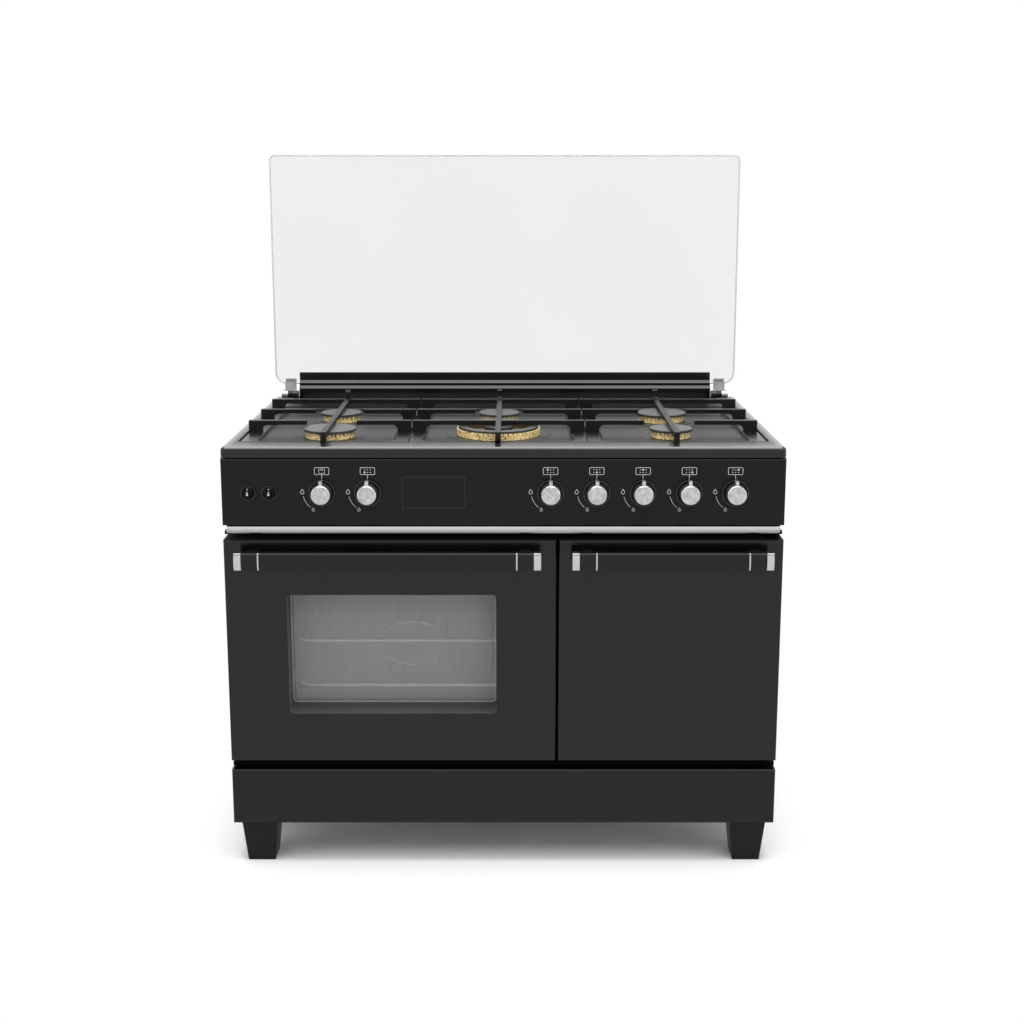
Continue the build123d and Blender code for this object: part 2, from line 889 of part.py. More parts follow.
# Burner caps: enamelled discs with a rounded rim; the centre front one is a ring and a small disc
for name, (x, depth, crown_radius, cap_radius, ports) in burner_places.items():
    with BuildPart() as cap:
        rod_z(x, front_y + depth, cap_z, cap_z + cap_thickness, cap_radius)
        if name == "centre_front":
            hole_radius = crown_radius - wok_ring_width
            rod_z(x, front_y + depth, cap_z, cap_z + cap_thickness, hole_radius, Mode.SUBTRACT)
            rod_z(x, front_y + depth, cap_z, cap_z + cap_thickness, wok_inner_cap_radius)
        fillet(cap.edges().group_by(Axis.Z)[-1], cap_edge)
    keep(cap, f"{name}_cap")

# Pan supports: three cast frames, each with cross bars on end blocks and a spine over its burners
support_top_z = recess_z + support_height
support_spans = {
    "left": (left_support_x, left_seam_x - support_seam, left_burner_x),
    "centre": (left_seam_x + support_seam, right_seam_x - support_seam, centre_shift),
    "right": (right_seam_x + support_seam, right_support_x, right_burner_x),
}
broken_bars = {"left": (0, 1), "centre": (1,), "right": (0, 1)}
for name, (left_x, right_x, spine_x) in support_spans.items():
    with BuildPart() as support:
        for index, depth in enumerate(support_bar_depths):
            bar_front_y = front_y + depth - support_bar_depth / 2
            with BuildSketch(front_plane(bar_front_y)) as bar_shape:
                with Locations(((left_x + right_x) / 2, recess_z + support_height / 2)):
                    Rectangle(right_x - left_x, support_height)
                arch_top = support_height - support_bar
                with Locations(((left_x + right_x) / 2, recess_z)):
                    arch_width = right_x - left_x - 2 * support_block
                    RectangleRounded(arch_width, 2 * arch_top, support_curve, mode=Mode.SUBTRACT)
                if index in broken_bars[name]:
                    with Locations((spine_x, support_top_z)):
                        Rectangle(2 * finger_half, 2 * support_bar, mode=Mode.SUBTRACT)
            extrude(bar_shape.sketch, amount=-support_bar_depth)
        for rail_x in (left_x, right_x - support_rail_width):
            block(
                rail_x,
                rail_x + support_rail_width,
                front_y + support_bar_depths[0],
                front_y + support_bar_depths[-1],
                recess_z,
                recess_z + support_rail_height,
            )
        with BuildSketch(Plane.YZ.offset(spine_x - spine_width / 2)) as spine_shape:
            with BuildLine():
                Polyline(
                    (front_y + spine_front, hob_z),
                    (front_y + spine_front, support_top_z),
                    (front_y + spine_rear - horn_length, support_top_z),
                    (front_y + spine_rear - horn_length, hob_z + horn_height),
                    (front_y + spine_rear, hob_z + horn_height),
                    (front_y + spine_rear, support_top_z - support_bar),
                    (front_y + spine_front + spine_leg, support_top_z - support_bar),
                    (front_y + spine_front + spine_leg, hob_z),
                    close=True,
                )
            make_face()
            fillet(spine_shape.vertices().sort_by(Axis.Z)[-2:], spine_round)
        extrude(spine_shape.sketch, amount=spine_width)
    keep(support, f"pan_support_{name}")

# Rear upstand: folded sheet with a stepped face, closed at the ends, over a vent slot
slot_z = hob_z + upstand_slot
upstand_steps = [
    (front_y + upstand_front, slot_z),
    (front_y + upstand_front, slot_z + upstand_lip),
    (front_y + upstand_front + upstand_step, slot_z + upstand_lip + upstand_slope),
    (front_y + upstand_front + upstand_step, slot_z + upstand_lip + upstand_slope + upstand_band),
    (front_y + upstand_front + 2 * upstand_step, slot_z + upstand_lip + 2 * upstand_slope + upstand_band),
    (front_y + upstand_front + 2 * upstand_step, hob_z + upstand_height),
    (front_y + upstand_rear - upstand_slant, hob_z + upstand_height),
    (front_y + upstand_rear, hob_z + upstand_height - upstand_slant_drop),
    (front_y + upstand_rear, hob_z),
]
with BuildPart() as rear_upstand:
    with BuildSketch(Plane.YZ.offset(-upstand_half)) as upstand_skin:
        with BuildLine():
            Polyline(*upstand_steps)
            offset(amount=sheet, side=Side.RIGHT, kind=Kind.INTERSECTION)
        make_face()
    extrude(upstand_skin.sketch, amount=2 * upstand_half)
    for end_x in (-upstand_half, upstand_half - sheet):
        with BuildSketch(Plane.YZ.offset(end_x)) as upstand_end:
            with BuildLine():
                Polyline(*upstand_steps, (front_y + upstand_front, hob_z), close=True)
            make_face()
        extrude(upstand_end.sketch, amount=sheet)
keep(rear_upstand, "rear_upstand")

# Lid brackets: a pedestal at each rear corner with the pin that the lid turns on
with BuildPart() as lid_brackets:
    for side in (-1, 1):
        near_x = side * (lid_arm_x - pedestal_gap)
        far_x = near_x - side * pedestal_width
        with BuildSketch(Plane.YZ.offset(min(near_x, far_x))) as pedestal:
            with Locations((lid_axis_y, lid_axis_z)):
                Circle(lid_barrel_radius)
            with Locations((lid_axis_y, (hob_z + lid_axis_z) / 2)):
                Rectangle(2 * lid_barrel_radius, lid_axis_rise)
        extrude(pedestal.sketch, amount=pedestal_width)
        tip_x = side * (lid_arm_x + lid_arm_width)
        rod_x(lid_axis_y, lid_axis_z, min(near_x, tip_x), max(near_x, tip_x), lid_pin_radius)
keep(lid_brackets, "lid_brackets")

# Lid: a sheet of glass with rounded corners
lid_bottom_z = hob_z + lid_bottom_rise
lid_front_y = lid_y - lid_thickness / 2
with BuildPart() as lid_glass:
    extrude(
        panel_outline(
            front_plane(lid_front_y), -lid_width / 2, lid_width / 2, lid_bottom_z, lid_bottom_z + lid_height
        ),
        amount=-lid_thickness,
    )
    upright_edges = lid_glass.edges().filter_by(Axis.Y).group_by(Axis.Z)
    fillet(upright_edges[0], lid_bottom_corner)
    fillet(lid_glass.edges().filter_by(Axis.Y).group_by(Axis.Z)[-1], lid_top_corner)
keep(lid_glass, "lid_glass")

# Lid hinge arms: a barrel on the pin, an arm back and a clamp round the glass's lower edge
with BuildPart() as lid_hinge_arms:
    slot_half = lid_thickness / 2 + lid_clamp_gap
    for side in (-1, 1):
        arm_x = side * lid_arm_x if side > 0 else side * lid_arm_x - lid_arm_width
        with BuildSketch(Plane.YZ.offset(arm_x)) as arm_shape:
            with Locations((lid_axis_y, lid_axis_z)):
                Circle(lid_barrel_radius)
            arm_end_y = lid_y + slot_half + lid_clamp_wall
            with Locations(((lid_axis_y + arm_end_y) / 2, lid_axis_z)):
                Rectangle(arm_end_y - lid_axis_y, lid_arm_thickness)
            clamp_walls = (
                (lid_y - slot_half - lid_clamp_wall / 2, lid_clamp_front),
                (lid_y + slot_half + lid_clamp_wall / 2, lid_clamp_rear),
            )
            for wall_y, wall_rise in clamp_walls:
                with Locations((wall_y, (lid_axis_z + hob_z + wall_rise) / 2)):
                    Rectangle(lid_clamp_wall, hob_z + wall_rise - lid_axis_z)
            with Locations((lid_y, (lid_axis_z + lid_bottom_z) / 2)):
                Rectangle(2 * slot_half, lid_bottom_z - lid_axis_z)
            with Locations((lid_axis_y, lid_axis_z)):
                Circle(lid_pin_radius + running_gap, mode=Mode.SUBTRACT)
        extrude(arm_shape.sketch, amount=lid_arm_width)
keep(lid_hinge_arms, "lid_hinge_arms")

# Oven door: outer pan with a deep window, liner with the window's tunnel and lip, two panes
window_x0 = window_left - half_width
window_x1 = window_x0 + window_width
window_z0 = door_bottom_z + window_rise
window_z1 = window_z0 + window_height
liner_y = front_y + door_depth - sheet
pane_y = front_y + pane_setback
hinge_y = front_y + hinge_axis_depth
hinge_z = door_bottom_z + hinge_axis_rise
hinge_xs = (hinge_inset - half_width, oven_door_right - hinge_inset)
notch_half = hinge_arm_width / 2 + hinge_side_gap
cheek_half = hinge_arm_height / 2 + hinge_side_gap


def hinge_notches():
    """Clear the path of the hinge arms through the door's lower rear edge."""
    for x in hinge_xs:
        block(
            x - notch_half,
            x + notch_half,
            hinge_y - cheek_half,
            front_y + door_depth,
            door_bottom_z,
            hinge_z + cheek_half,
            Mode.SUBTRACT,
        )


def window_outline(y, margin):
    """The window's rounded outline, grown by a margin."""
    return panel_outline(
        front_plane(y),
        window_x0 - margin,
        window_x1 + margin,
        window_z0 - margin,
        window_z1 + margin,
        window_corner + margin,
    )


def lip_outline(y):
    """The opening inside the lip that holds the panes, higher at the sill."""
    return panel_outline(
        front_plane(y),
        window_x0 + window_lip,
        window_x1 - window_lip,
        window_z0 + window_sill_lip,
        window_z1 - window_lip,
        window_corner,
    )


with BuildPart() as oven_door_panel:
    folded_pan(oven_door_panel, -half_width, oven_door_right, door_bottom_z, door_top_z, door_depth)
    extrude(window_outline(front_y, 0), amount=-sheet, mode=Mode.SUBTRACT)
    hinge_notches()
keep(oven_door_panel, "oven_door_panel")

with BuildPart() as oven_door_liner:
    extrude(
        panel_outline(
            front_plane(liner_y),
            sheet - half_width,
            oven_door_right - sheet,
            door_bottom_z + sheet,
            door_top_z - sheet,
        ),
        amount=-sheet,
    )
    tunnel_y = front_y + sheet
    extrude(window_outline(tunnel_y, sheet), amount=tunnel_y - liner_y)
    extrude(window_outline(tunnel_y, 0), amount=tunnel_y - liner_y, mode=Mode.SUBTRACT)
    extrude(window_outline(pane_y - sheet, sheet), amount=-sheet)
    extrude(lip_outline(pane_y - sheet), amount=-sheet, mode=Mode.SUBTRACT)
    extrude(lip_outline(liner_y), amount=-sheet, mode=Mode.SUBTRACT)
    for x in hinge_xs:
        block(
            x - notch_half - hinge_cheek_width,
            x + notch_half + hinge_cheek_width,
            hinge_y - cheek_half,
            liner_y,
            door_bottom_z + sheet,
            hinge_z + cheek_half,
        )
        pin_half = notch_half + hinge_cheek_width
        rod_x(hinge_y, hinge_z, x - pin_half, x + pin_half, hinge_pin_radius + running_gap, Mode.SUBTRACT)
    hinge_notches()
keep(oven_door_liner, "oven_door_liner")

with BuildPart() as oven_door_glass:
    for y in (pane_y, liner_y - pane_thickness):
        extrude(window_outline(y, -slide_gap), amount=-pane_thickness)
keep(oven_door_glass, "oven_door_glass")

# Oven door hinges: arms out of the front frame, each with a cross pin in the door's cheeks
with BuildPart() as oven_door_hinges:
    for x in hinge_xs:
        with BuildSketch(Plane.YZ.offset(x - hinge_arm_width / 2)) as arm_side:
            with Locations((hinge_y, hinge_z)):
                Circle(hinge_arm_height / 2)
            with Locations(((hinge_y + carcass_y) / 2, hinge_z)):
                Rectangle(carcass_y - hinge_y, hinge_arm_height)
        extrude(arm_side.sketch, amount=hinge_arm_width)
        pin_half = notch_half + hinge_cheek_width
        rod_x(hinge_y, hinge_z, x - pin_half, x + pin_half, hinge_pin_radius)
keep(oven_door_hinges, "oven_door_hinges")

# Cabinet door: outer pan with pin holes in its flanges, and a liner
cabinet_pin_x = half_width - cabinet_pin_inset
with BuildPart() as cabinet_door_panel:
    folded_pan(cabinet_door_panel, cabinet_door_left, half_width, door_bottom_z, door_top_z, door_depth)
    pin_hole_radius = hinge_pin_radius + running_gap
    rod_z(cabinet_pin_x, hinge_y, door_bottom_z, door_bottom_z + sheet, pin_hole_radius, Mode.SUBTRACT)
    rod_z(cabinet_pin_x, hinge_y, door_top_z - sheet, door_top_z, pin_hole_radius, Mode.SUBTRACT)
keep(cabinet_door_panel, "cabinet_door_panel")

with BuildPart() as cabinet_door_liner:
    extrude(
        panel_outline(
            front_plane(liner_y),
            cabinet_door_left + sheet,
            half_width - sheet,
            door_bottom_z + sheet,
            door_top_z - sheet,
        ),
        amount=-sheet,
    )
keep(cabinet_door_liner, "cabinet_door_liner")

# Cabinet door hinges: a plate above and below the door, each with a pin into its flange
with BuildPart() as cabinet_door_hinges:
    lower_z = door_bottom_z - cabinet_plate_gap - cabinet_plate_thickness
    upper_z = door_top_z + cabinet_plate_gap
    for plate_z in (lower_z, upper_z):
        with BuildSketch(Plane.XY.offset(plate_z)) as plate:
            with Locations((cabinet_pin_x, hinge_y)):
                Circle(hinge_arm_height / 2)
            with Locations((cabinet_pin_x, (hinge_y + carcass_y) / 2)):
                Rectangle(hinge_arm_height, carcass_y - hinge_y)
        extrude(plate.sketch, amount=cabinet_plate_thickness)
    rod_z(cabinet_pin_x, hinge_y, lower_z, door_bottom_z + cabinet_pin_length, hinge_pin_radius)
    rod_z(
        cabinet_pin_x,
        hinge_y,
        door_top_z - cabinet_pin_length,
        upper_z + cabinet_plate_thickness,
        hinge_pin_radius,
    )
keep(cabinet_door_hinges, "cabinet_door_hinges")


def bar_section(x, grow):
    """The handle's section: flat back, crowned front, rounded corners."""
    bar_front_y = front_y - handle_reach
    bar_z0 = door_top_z - bar_drop - bar_height / 2 - grow
    bar_z1 = door_top_z - bar_drop + bar_height / 2 + grow
    with BuildSketch(Plane.YZ.offset(x)) as section:
        with BuildLine():
            Polyline(
                (bar_front_y + bar_crown, bar_z0),
                (bar_front_y + bar_depth + grow, bar_z0),
                (bar_front_y + bar_depth + grow, bar_z1),
                (bar_front_y + bar_crown, bar_z1),
            )
            ThreePointArc(
                (bar_front_y + bar_crown, bar_z1),
                (bar_front_y, (bar_z0 + bar_z1) / 2),
                (bar_front_y + bar_crown, bar_z0),
            )
        make_face()
        fillet(section.vertices(), bar_corner)
    return section.sketch


# Handles: a crowned bar in three lengths with silver rings between and silver caps at the ends
handle_spans = {
    "oven": (-half_width + oven_handle_insets[0], oven_door_right - oven_handle_insets[1]),
    "cabinet": (cabinet_door_left + cabinet_handle_insets[0], half_width - cabinet_handle_insets[1]),
}
bar_z = door_top_z - bar_drop
bar_back_y = front_y - handle_reach + bar_depth
for name, (left_x, right_x) in handle_spans.items():
    cap_in = end_cap_length
    segment_in = cap_in + end_segment_length
    ring_in = segment_in + ring_length
    with BuildPart() as handle_bar:
        extrude(bar_section(left_x + cap_in, 0), amount=end_segment_length)
        extrude(bar_section(left_x + ring_in, 0), amount=right_x - left_x - 2 * ring_in)
        extrude(bar_section(right_x - segment_in, 0), amount=end_segment_length)
        for post_x in (left_x + (cap_in + segment_in) / 2, right_x - (cap_in + segment_in) / 2):
            block(
                post_x - post_width / 2,
                post_x + post_width / 2,
                bar_back_y,
                front_y,
                bar_z - post_height / 2,
                bar_z + post_height / 2,
            )
    keep(handle_bar, f"{name}_handle_bar")
    with BuildPart() as handle_trim:
        extrude(bar_section(left_x, ring_stand), amount=end_cap_length)
        extrude(bar_section(left_x + segment_in, ring_stand), amount=ring_length)
        extrude(bar_section(right_x - ring_in, ring_stand), amount=ring_length)
        extrude(bar_section(right_x - end_cap_length, ring_stand), amount=end_cap_length)
    keep(handle_trim, f"{name}_handle_trim")

# Base drawer: a folded front, and an open tray on the plate that closes the front's back
drawer_bottom_z = foot_height + drawer_foot_gap
drawer_back_y = front_y + drawer_front_depth
with BuildPart() as drawer_front:
    folded_pan(drawer_front, -half_width, half_width, drawer_bottom_z, drawer_top_z, drawer_front_depth)
keep(drawer_front, "drawer_front")

with BuildPart() as drawer_tray:
    block(-tray_half, tray_half, drawer_back_y, drawer_back_y + drawer_tray_length, tray_bottom_z, tray_top_z)
    offset(amount=-sheet, openings=drawer_tray.faces().sort_by(Axis.Z)[-1])
    block(
        sheet - half_width,
        half_width - sheet,
        drawer_back_y - sheet,
        drawer_back_y,
        drawer_bottom_z + sheet,
        drawer_top_z - sheet,
    )
keep(drawer_tray, "drawer_tray")
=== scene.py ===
# %% [markdown]
# # Dressing a wide gas cooker
# The solids come from CAD as a fixed frame: hob, burners, doors, drawer, knobs and lid, each on the
# body that moves it. Blender adds the finishes, the printed marks and the small fittings, so the
# first step is to load the frame.

# %% Load the frame
import json
import math

import bmesh
import bpy
from mathutils import Matrix, Vector


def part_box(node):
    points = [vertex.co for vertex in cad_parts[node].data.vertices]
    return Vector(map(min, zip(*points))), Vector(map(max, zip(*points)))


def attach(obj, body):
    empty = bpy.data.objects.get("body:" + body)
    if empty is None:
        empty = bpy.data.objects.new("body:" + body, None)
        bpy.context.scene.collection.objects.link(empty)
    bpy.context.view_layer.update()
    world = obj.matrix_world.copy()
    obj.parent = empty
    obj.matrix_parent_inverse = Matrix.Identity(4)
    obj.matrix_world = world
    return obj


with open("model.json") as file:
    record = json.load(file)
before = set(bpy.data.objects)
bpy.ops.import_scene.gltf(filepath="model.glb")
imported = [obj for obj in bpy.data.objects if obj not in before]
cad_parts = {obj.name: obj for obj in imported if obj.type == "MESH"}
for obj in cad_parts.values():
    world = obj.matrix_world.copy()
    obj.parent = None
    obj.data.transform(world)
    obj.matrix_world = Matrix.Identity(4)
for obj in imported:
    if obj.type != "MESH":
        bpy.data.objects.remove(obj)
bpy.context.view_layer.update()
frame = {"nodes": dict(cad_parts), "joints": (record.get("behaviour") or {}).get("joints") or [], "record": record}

nodes = frame["nodes"]
scene = bpy.context.scene
scene.view_settings.view_transform = "Standard"

# %% [markdown]
# ## Shader sums in Python
# A finish is a tree of nodes. Wiring each Math node by hand hides the idea of a formula, so one small
# class wraps a socket and lets Python's operators add the Math nodes. Every other node comes from one
# function, which sets the node's own settings first and then fills or links its sockets. The rules
# for repeated pieces further down use that function too.

# %% Adding a node to a tree
def find(sockets, key):
    """A socket by its number, its identifier or its name."""
    if isinstance(key, int):
        return sockets[key]
    return next(s for s in sockets if key in (s.identifier, s.name))


def add_node(tree, kind, settings, sockets, out):
    """Add a node: settings first, then values or links, and hand back one of its outputs."""
    made = tree.nodes.new(kind)
    for name, value in (settings or {}).items():
        setattr(made, name, value)
    for key, value in (sockets or {}).items():
        socket = find(made.inputs, key)
        if isinstance(value, bpy.types.NodeSocket):
            tree.links.new(value, socket)
        else:
            socket.default_value = value
    return find(made.outputs, out) if len(made.outputs) else None


# %% A socket that can be added and multiplied
class Wire:
    """One socket of a shader tree, which works in Python sums."""

    def __init__(self, finish, socket):
        self.finish = finish
        self.socket = socket

    def math(self, operation, first, second):
        return self.finish.node("ShaderNodeMath", {"operation": operation}, {0: first, 1: second})

    def __add__(self, other):
        return self.math("ADD", self, other)

    def __sub__(self, other):
        return self.math("SUBTRACT", self, other)

    def __rsub__(self, other):
        return self.math("SUBTRACT", other, self)

    def __mul__(self, other):
        return self.math("MULTIPLY", self, other)

    def __gt__(self, other):
        return self.math("GREATER_THAN", self, other)

    def __lt__(self, other):
        return self.math("LESS_THAN", self, other)

    __radd__ = __add__
    __rmul__ = __mul__


# %% A finish and its tree
class Finish:
    """A shader tree, of a material by name or of the world."""

    def __init__(self, owner):
        self.owner = bpy.data.materials.new(owner) if isinstance(owner, str) else owner
        self.owner.use_nodes = True
        self.tree = self.owner.node_tree
        self.tree.nodes.clear()

    def node(self, kind, settings=None, sockets=None, out=0):
        """Add a node with values or wires on its sockets, and hand back one of its outputs."""
        plain = {key: v.socket if isinstance(v, Wire) else v for key, v in (sockets or {}).items()}
        socket = add_node(self.tree, kind, settings, plain, out)
        return None if socket is None else Wire(self, socket)

    def place(self):
        """Object coordinates, which are metres in the cooker's own frame."""
        return self.node("ShaderNodeTexCoord", out="Object")

    def along(self, axis):
        """One of the Object coordinates."""
        return self.node("ShaderNodeSeparateXYZ", None, {0: self.place()}, axis)

    def vector(self, operation, first, second=None, out=0):
        sockets = {0: first} if second is None else {0: first, 1: second}
        return self.node("ShaderNodeVectorMath", {"operation": operation}, sockets, out)

    def outside(self, middle, half):
        """How far a point lies outside a box, given its middle and half its size."""
        spot = self.vector("ABSOLUTE", self.vector("SUBTRACT", self.place(), middle))
        spot = self.vector("MAXIMUM", self.vector("SUBTRACT", spot, half), (0, 0, 0))
        return self.vector("LENGTH", spot, out="Value")

    def from_axis(self, centre, across):
        """How far a point lies from an axis; across is 1 for each direction square to it."""
        flat = self.vector("MULTIPLY", self.vector("SUBTRACT", self.place(), centre), across)
        return self.vector("LENGTH", flat, out="Value")

    def noise(self, scale, detail=2.0, rough=0.5, where=None):
        sockets = {"Vector": where or self.place(), "Scale": scale, "Detail": detail, "Roughness": rough}
        return self.node("ShaderNodeTexNoise", None, sockets, "Fac")

    def fade(self, value, low, high):
        """A smooth step from 0 to 1 while a value goes from one level to another."""
        sockets = {"Value": value, "From Min": low, "From Max": high}
        return self.node("ShaderNodeMapRange", {"interpolation_type": "SMOOTHSTEP"}, sockets, "Result")

    def blend(self, share, first, second):
        """A colour between two, by a share from 0 to 1."""
        sockets = {"Factor_Float": share, "A_Color": first, "B_Color": second}
        return self.node("ShaderNodeMix", {"data_type": "RGBA"}, sockets, "Result_Color")

    def bump(self, height, depth, strength):
        sockets = {"Height": height, "Distance": depth, "Strength": strength}
        return self.node("ShaderNodeBump", None, sockets, "Normal")

    def surface(self, shader, kind="ShaderNodeOutputMaterial"):
        self.node(kind, None, {"Surface": shader})
        return self.owner

    def principled(self, **sockets):
        """Close the tree with one Principled shader; names use _ for a space."""
        named = {key.replace("_", " "): value for key, value in sockets.items()}
        return self.surface(self.node("ShaderNodeBsdfPrincipled", None, named))


def grey(level, warm=0.0):
    """An opaque grey, a little warmer or cooler."""
    return (level * (1 + warm), level, level * (1 - warm), 1.0)


print("shader helpers ready")

# %% [markdown]
# ## Camera, light and floor
# The camera stands where the photographer stood: 2.5 m in front of the doors, a little above the
# hob, looking slightly down. The place, the tilt and the lens were fitted to corners of the real
# object. The light is a broad soft box over the front, a weaker one on each side and behind, and a
# wide one right above the hob, which brightens its plate and its rounded edges, all in an even grey
# world. The background is white because the world shows white to the camera and to mirrors, not
# because the object gets more light.

# %% Camera
PICTURE = 1024
FOCAL_PIXELS = 1450.0
CENTRE_ROW = 460
SENSOR = 36
EYE = (0.0153, -2.8106, 1.2467)
TILT_DOWN = 0.190
eye = bpy.data.objects.new("camera", bpy.data.cameras.new("camera"))
scene.collection.objects.link(eye)
scene.camera = eye
eye.location = EYE
eye.rotation_euler = (math.pi / 2 - TILT_DOWN, 0, 0)
eye.data.sensor_width = SENSOR
eye.data.lens = SENSOR * FOCAL_PIXELS / PICTURE
eye.data.shift_y = (CENTRE_ROW - PICTURE / 2) / PICTURE
print("camera lens", round(eye.data.lens, 1), "mm, shift", round(eye.data.shift_y, 3))

# %% World and lamps
def seen_white(finish):
    """1 for rays that come from the camera, a mirror or clear glass."""
    kinds = ("Is Camera Ray", "Is Glossy Ray", "Is Transmission Ray")
    return sum(finish.node("ShaderNodeLightPath", out=kind) for kind in kinds) > 0.5


scene.world = scene.world or bpy.data.worlds.new("studio")
studio = Finish(scene.world)
studio_light = studio.node("ShaderNodeBackground", None, {"Color": grey(1.0), "Strength": 0.50})
studio_white = studio.node("ShaderNodeBackground", None, {"Color": grey(1.0), "Strength": 1.0})
studio.surface(
    studio.node("ShaderNodeMixShader", None, {0: seen_white(studio), 1: studio_light, 2: studio_white}),
    "ShaderNodeOutputWorld",
)


def soft_box(name, place, aim, width, height, watts):
    """A rectangular lamp turned towards a point."""
    lamp = bpy.data.objects.new(name, bpy.data.lights.new(name, "AREA"))
    scene.collection.objects.link(lamp)
    lamp.data.shape = "RECTANGLE"
    lamp.data.size = width
    lamp.data.size_y = height
    lamp.data.energy = watts
    lamp.location = place
    lamp.rotation_euler = (Vector(aim) - Vector(place)).to_track_quat("-Z", "Y").to_euler()


soft_box("key_box", (0.3, -1.9, 3.1), (0, 0, 0.7), 3.2, 2.2, 44)
soft_box("left_box", (-3.0, -1.2, 1.7), (0, 0, 0.7), 1.6, 2.4, 21)
soft_box("right_box", (3.0, -1.2, 1.7), (0, 0, 0.7), 1.6, 2.4, 18)
soft_box("rear_box", (0, 2.8, 2.6), (0, 0, 0.8), 3.0, 1.6, 18)
soft_box("top_box", (0, -0.18, 2.6), (0, -0.18, 0.8), 2.6, 1.4, 70)
print("lamps:", ", ".join(lamp.name for lamp in bpy.data.lights))

# %% [markdown]
# The floor has to be white far away and still carry the cooker's soft shadow near by. Its material
# is plain matt paint close to the footprint and turns into the background's white further out.

# %% Floor
SQUARE = ((-1, -1), (1, -1), (1, 1), (-1, 1))
FLOOR_HALF = 9.0
FLOOR_LEVEL = -0.0003
MATT_HALF = (0.46, 0.28, 1.0)
FADE_WIDTH = 0.14
floor_mesh = bpy.data.meshes.new("floor")
floor_mesh.from_pydata([(x * FLOOR_HALF, y * FLOOR_HALF, FLOOR_LEVEL) for x, y in SQUARE], [], [(0, 1, 2, 3)])
floor = bpy.data.objects.new("floor", floor_mesh)
scene.collection.objects.link(floor)
paint = Finish("floor_paint")
matt = paint.node("ShaderNodeBsdfDiffuse", None, {"Color": grey(0.89)})
white = paint.node("ShaderNodeEmission", None, {"Color": grey(1.0), "Strength": 1.0})
fading = paint.fade(paint.outside((0, 0, 0), MATT_HALF), 0.0, FADE_WIDTH) * seen_white(paint)
floor_mesh.materials.append(
    paint.surface(paint.node("ShaderNodeMixShader", None, {0: fading, 1: matt, 2: white}))
)
print("floor", 2 * FLOOR_HALF, "m square")

# %% [markdown]
# ## Painted and enamelled steel
# The doors and the drawer are lacquered so deep a black that most of what one sees is the pale
# floor mirrored in them, and above a handle its own dark back. The control panel is duller. All are
# one recipe with other numbers: a cloud for gloss and colour, a grain for the bump. The doors'
# folded tops are left dull. A finish is kept by its slot, or by its node where only one node has it.

# %% Coated sheet
ABOVE_ALL = 9.0
DOOR_FOLD = 0.0015


def coated_sheet(name, level, gloss, peel_scale, peel_depth, shine, dull_above=ABOVE_ALL):
    """Paint or enamel on steel, with a cloud of gloss and a fine peel, dull above a height."""
    paint = Finish(name)
    cloud = paint.noise(4.0, 4.0, 0.6)
    smear = paint.noise(37.0, 3.0, 0.55)
    peel = paint.noise(peel_scale, 2.0, 0.5)
    dull = (paint.along("Z") > dull_above) * 0.7
    return paint.principled(
        Base_Color=paint.blend(cloud, grey(level * 0.86, -0.01), grey(level * 1.16, 0.01)),
        Roughness=(cloud - 0.5) * 0.06 + (smear - 0.5) * 0.04 + gloss + dull,
        Specular_IOR_Level=shine,
        Normal=paint.bump(peel, peel_depth, 0.35),
    )


finishes = {
    "carcass_steel": coated_sheet("carcass_black_paint", 0.006, 0.50, 1100, 0.00006, 0.30),
    "burner_enamel": coated_sheet("cap_grey_enamel", 0.030, 0.34, 900, 0.00006, 0.42),
}
single = {
    "control_panel": coated_sheet("panel_dull_paint", 0.003, 0.34, 1600, 0.00004, 0.20),
    "oven_door_liner": coated_sheet("window_frame_paint", 0.080, 0.50, 1100, 0.00006, 0.30),
    "front_frame": coated_sheet("frame_dead_black", 0.0015, 0.80, 1100, 0.00006, 0.04),
    "drawer_front": coated_sheet("drawer_lacquer", 0.003, 0.20, 1400, 0.00002, 0.29),
    "cabinet_door_hinges": coated_sheet("hinge_black_paint", 0.002, 0.60, 1100, 0.00006, 0.06),
}
for name in ("oven_door_panel", "cabinet_door_panel"):
    door_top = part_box(name)[1].z - DOOR_FOLD
    single[name] = coated_sheet(f"{name}_lacquer", 0.003, 0.17, 1400, 0.00002, 0.35, door_top)
print("coated sheets:", len(finishes) + len(single))

# %% [markdown]
# The hob is vitreous enamel with a soft orange peel. It is glossier on its rolled rim, which also has
# a clear coat on its crest. Shade is painted along its pressed lines and on the walls of its wells, as
# a darker colour and a rougher skin, and the two seams beside the centre support are dark the same
# way. All of these follow from the distance to two outlines, seen from above, and from the height.
# The upstand behind it is lacquered, with light painted as grey inside its vent.

# %% Where the hob is pressed
PRESS_SIDE, PRESS_FRONT, PRESS_REAR = 0.022, 0.054, 0.470
PRESS_CORNER = 0.014
RIM_CORNER = 0.030
LINE_INSIDE, LINE_OUTSIDE, LINE_AHEAD = 0.003, 0.001, 0.0075
AHEAD_MARGIN = 0.002
WALL_TOP = 0.0028
WELL_DEPTH = 0.008
PAD_HEIGHT = 0.0015
PAD_MARGIN = 0.0005
SEAM_GAP = 0.0012
SEAM_HALF = 0.0016


def outline_distance(finish, low, high, corner):
    """How far a point lies outside a rectangle with rounded corners, seen from above."""
    middle = ((low[0] + high[0]) / 2, (low[1] + high[1]) / 2, 0)
    inner = ((high[0] - low[0]) / 2 - corner, (high[1] - low[1]) / 2 - corner, 9)
    return finish.outside(middle, inner) - corner


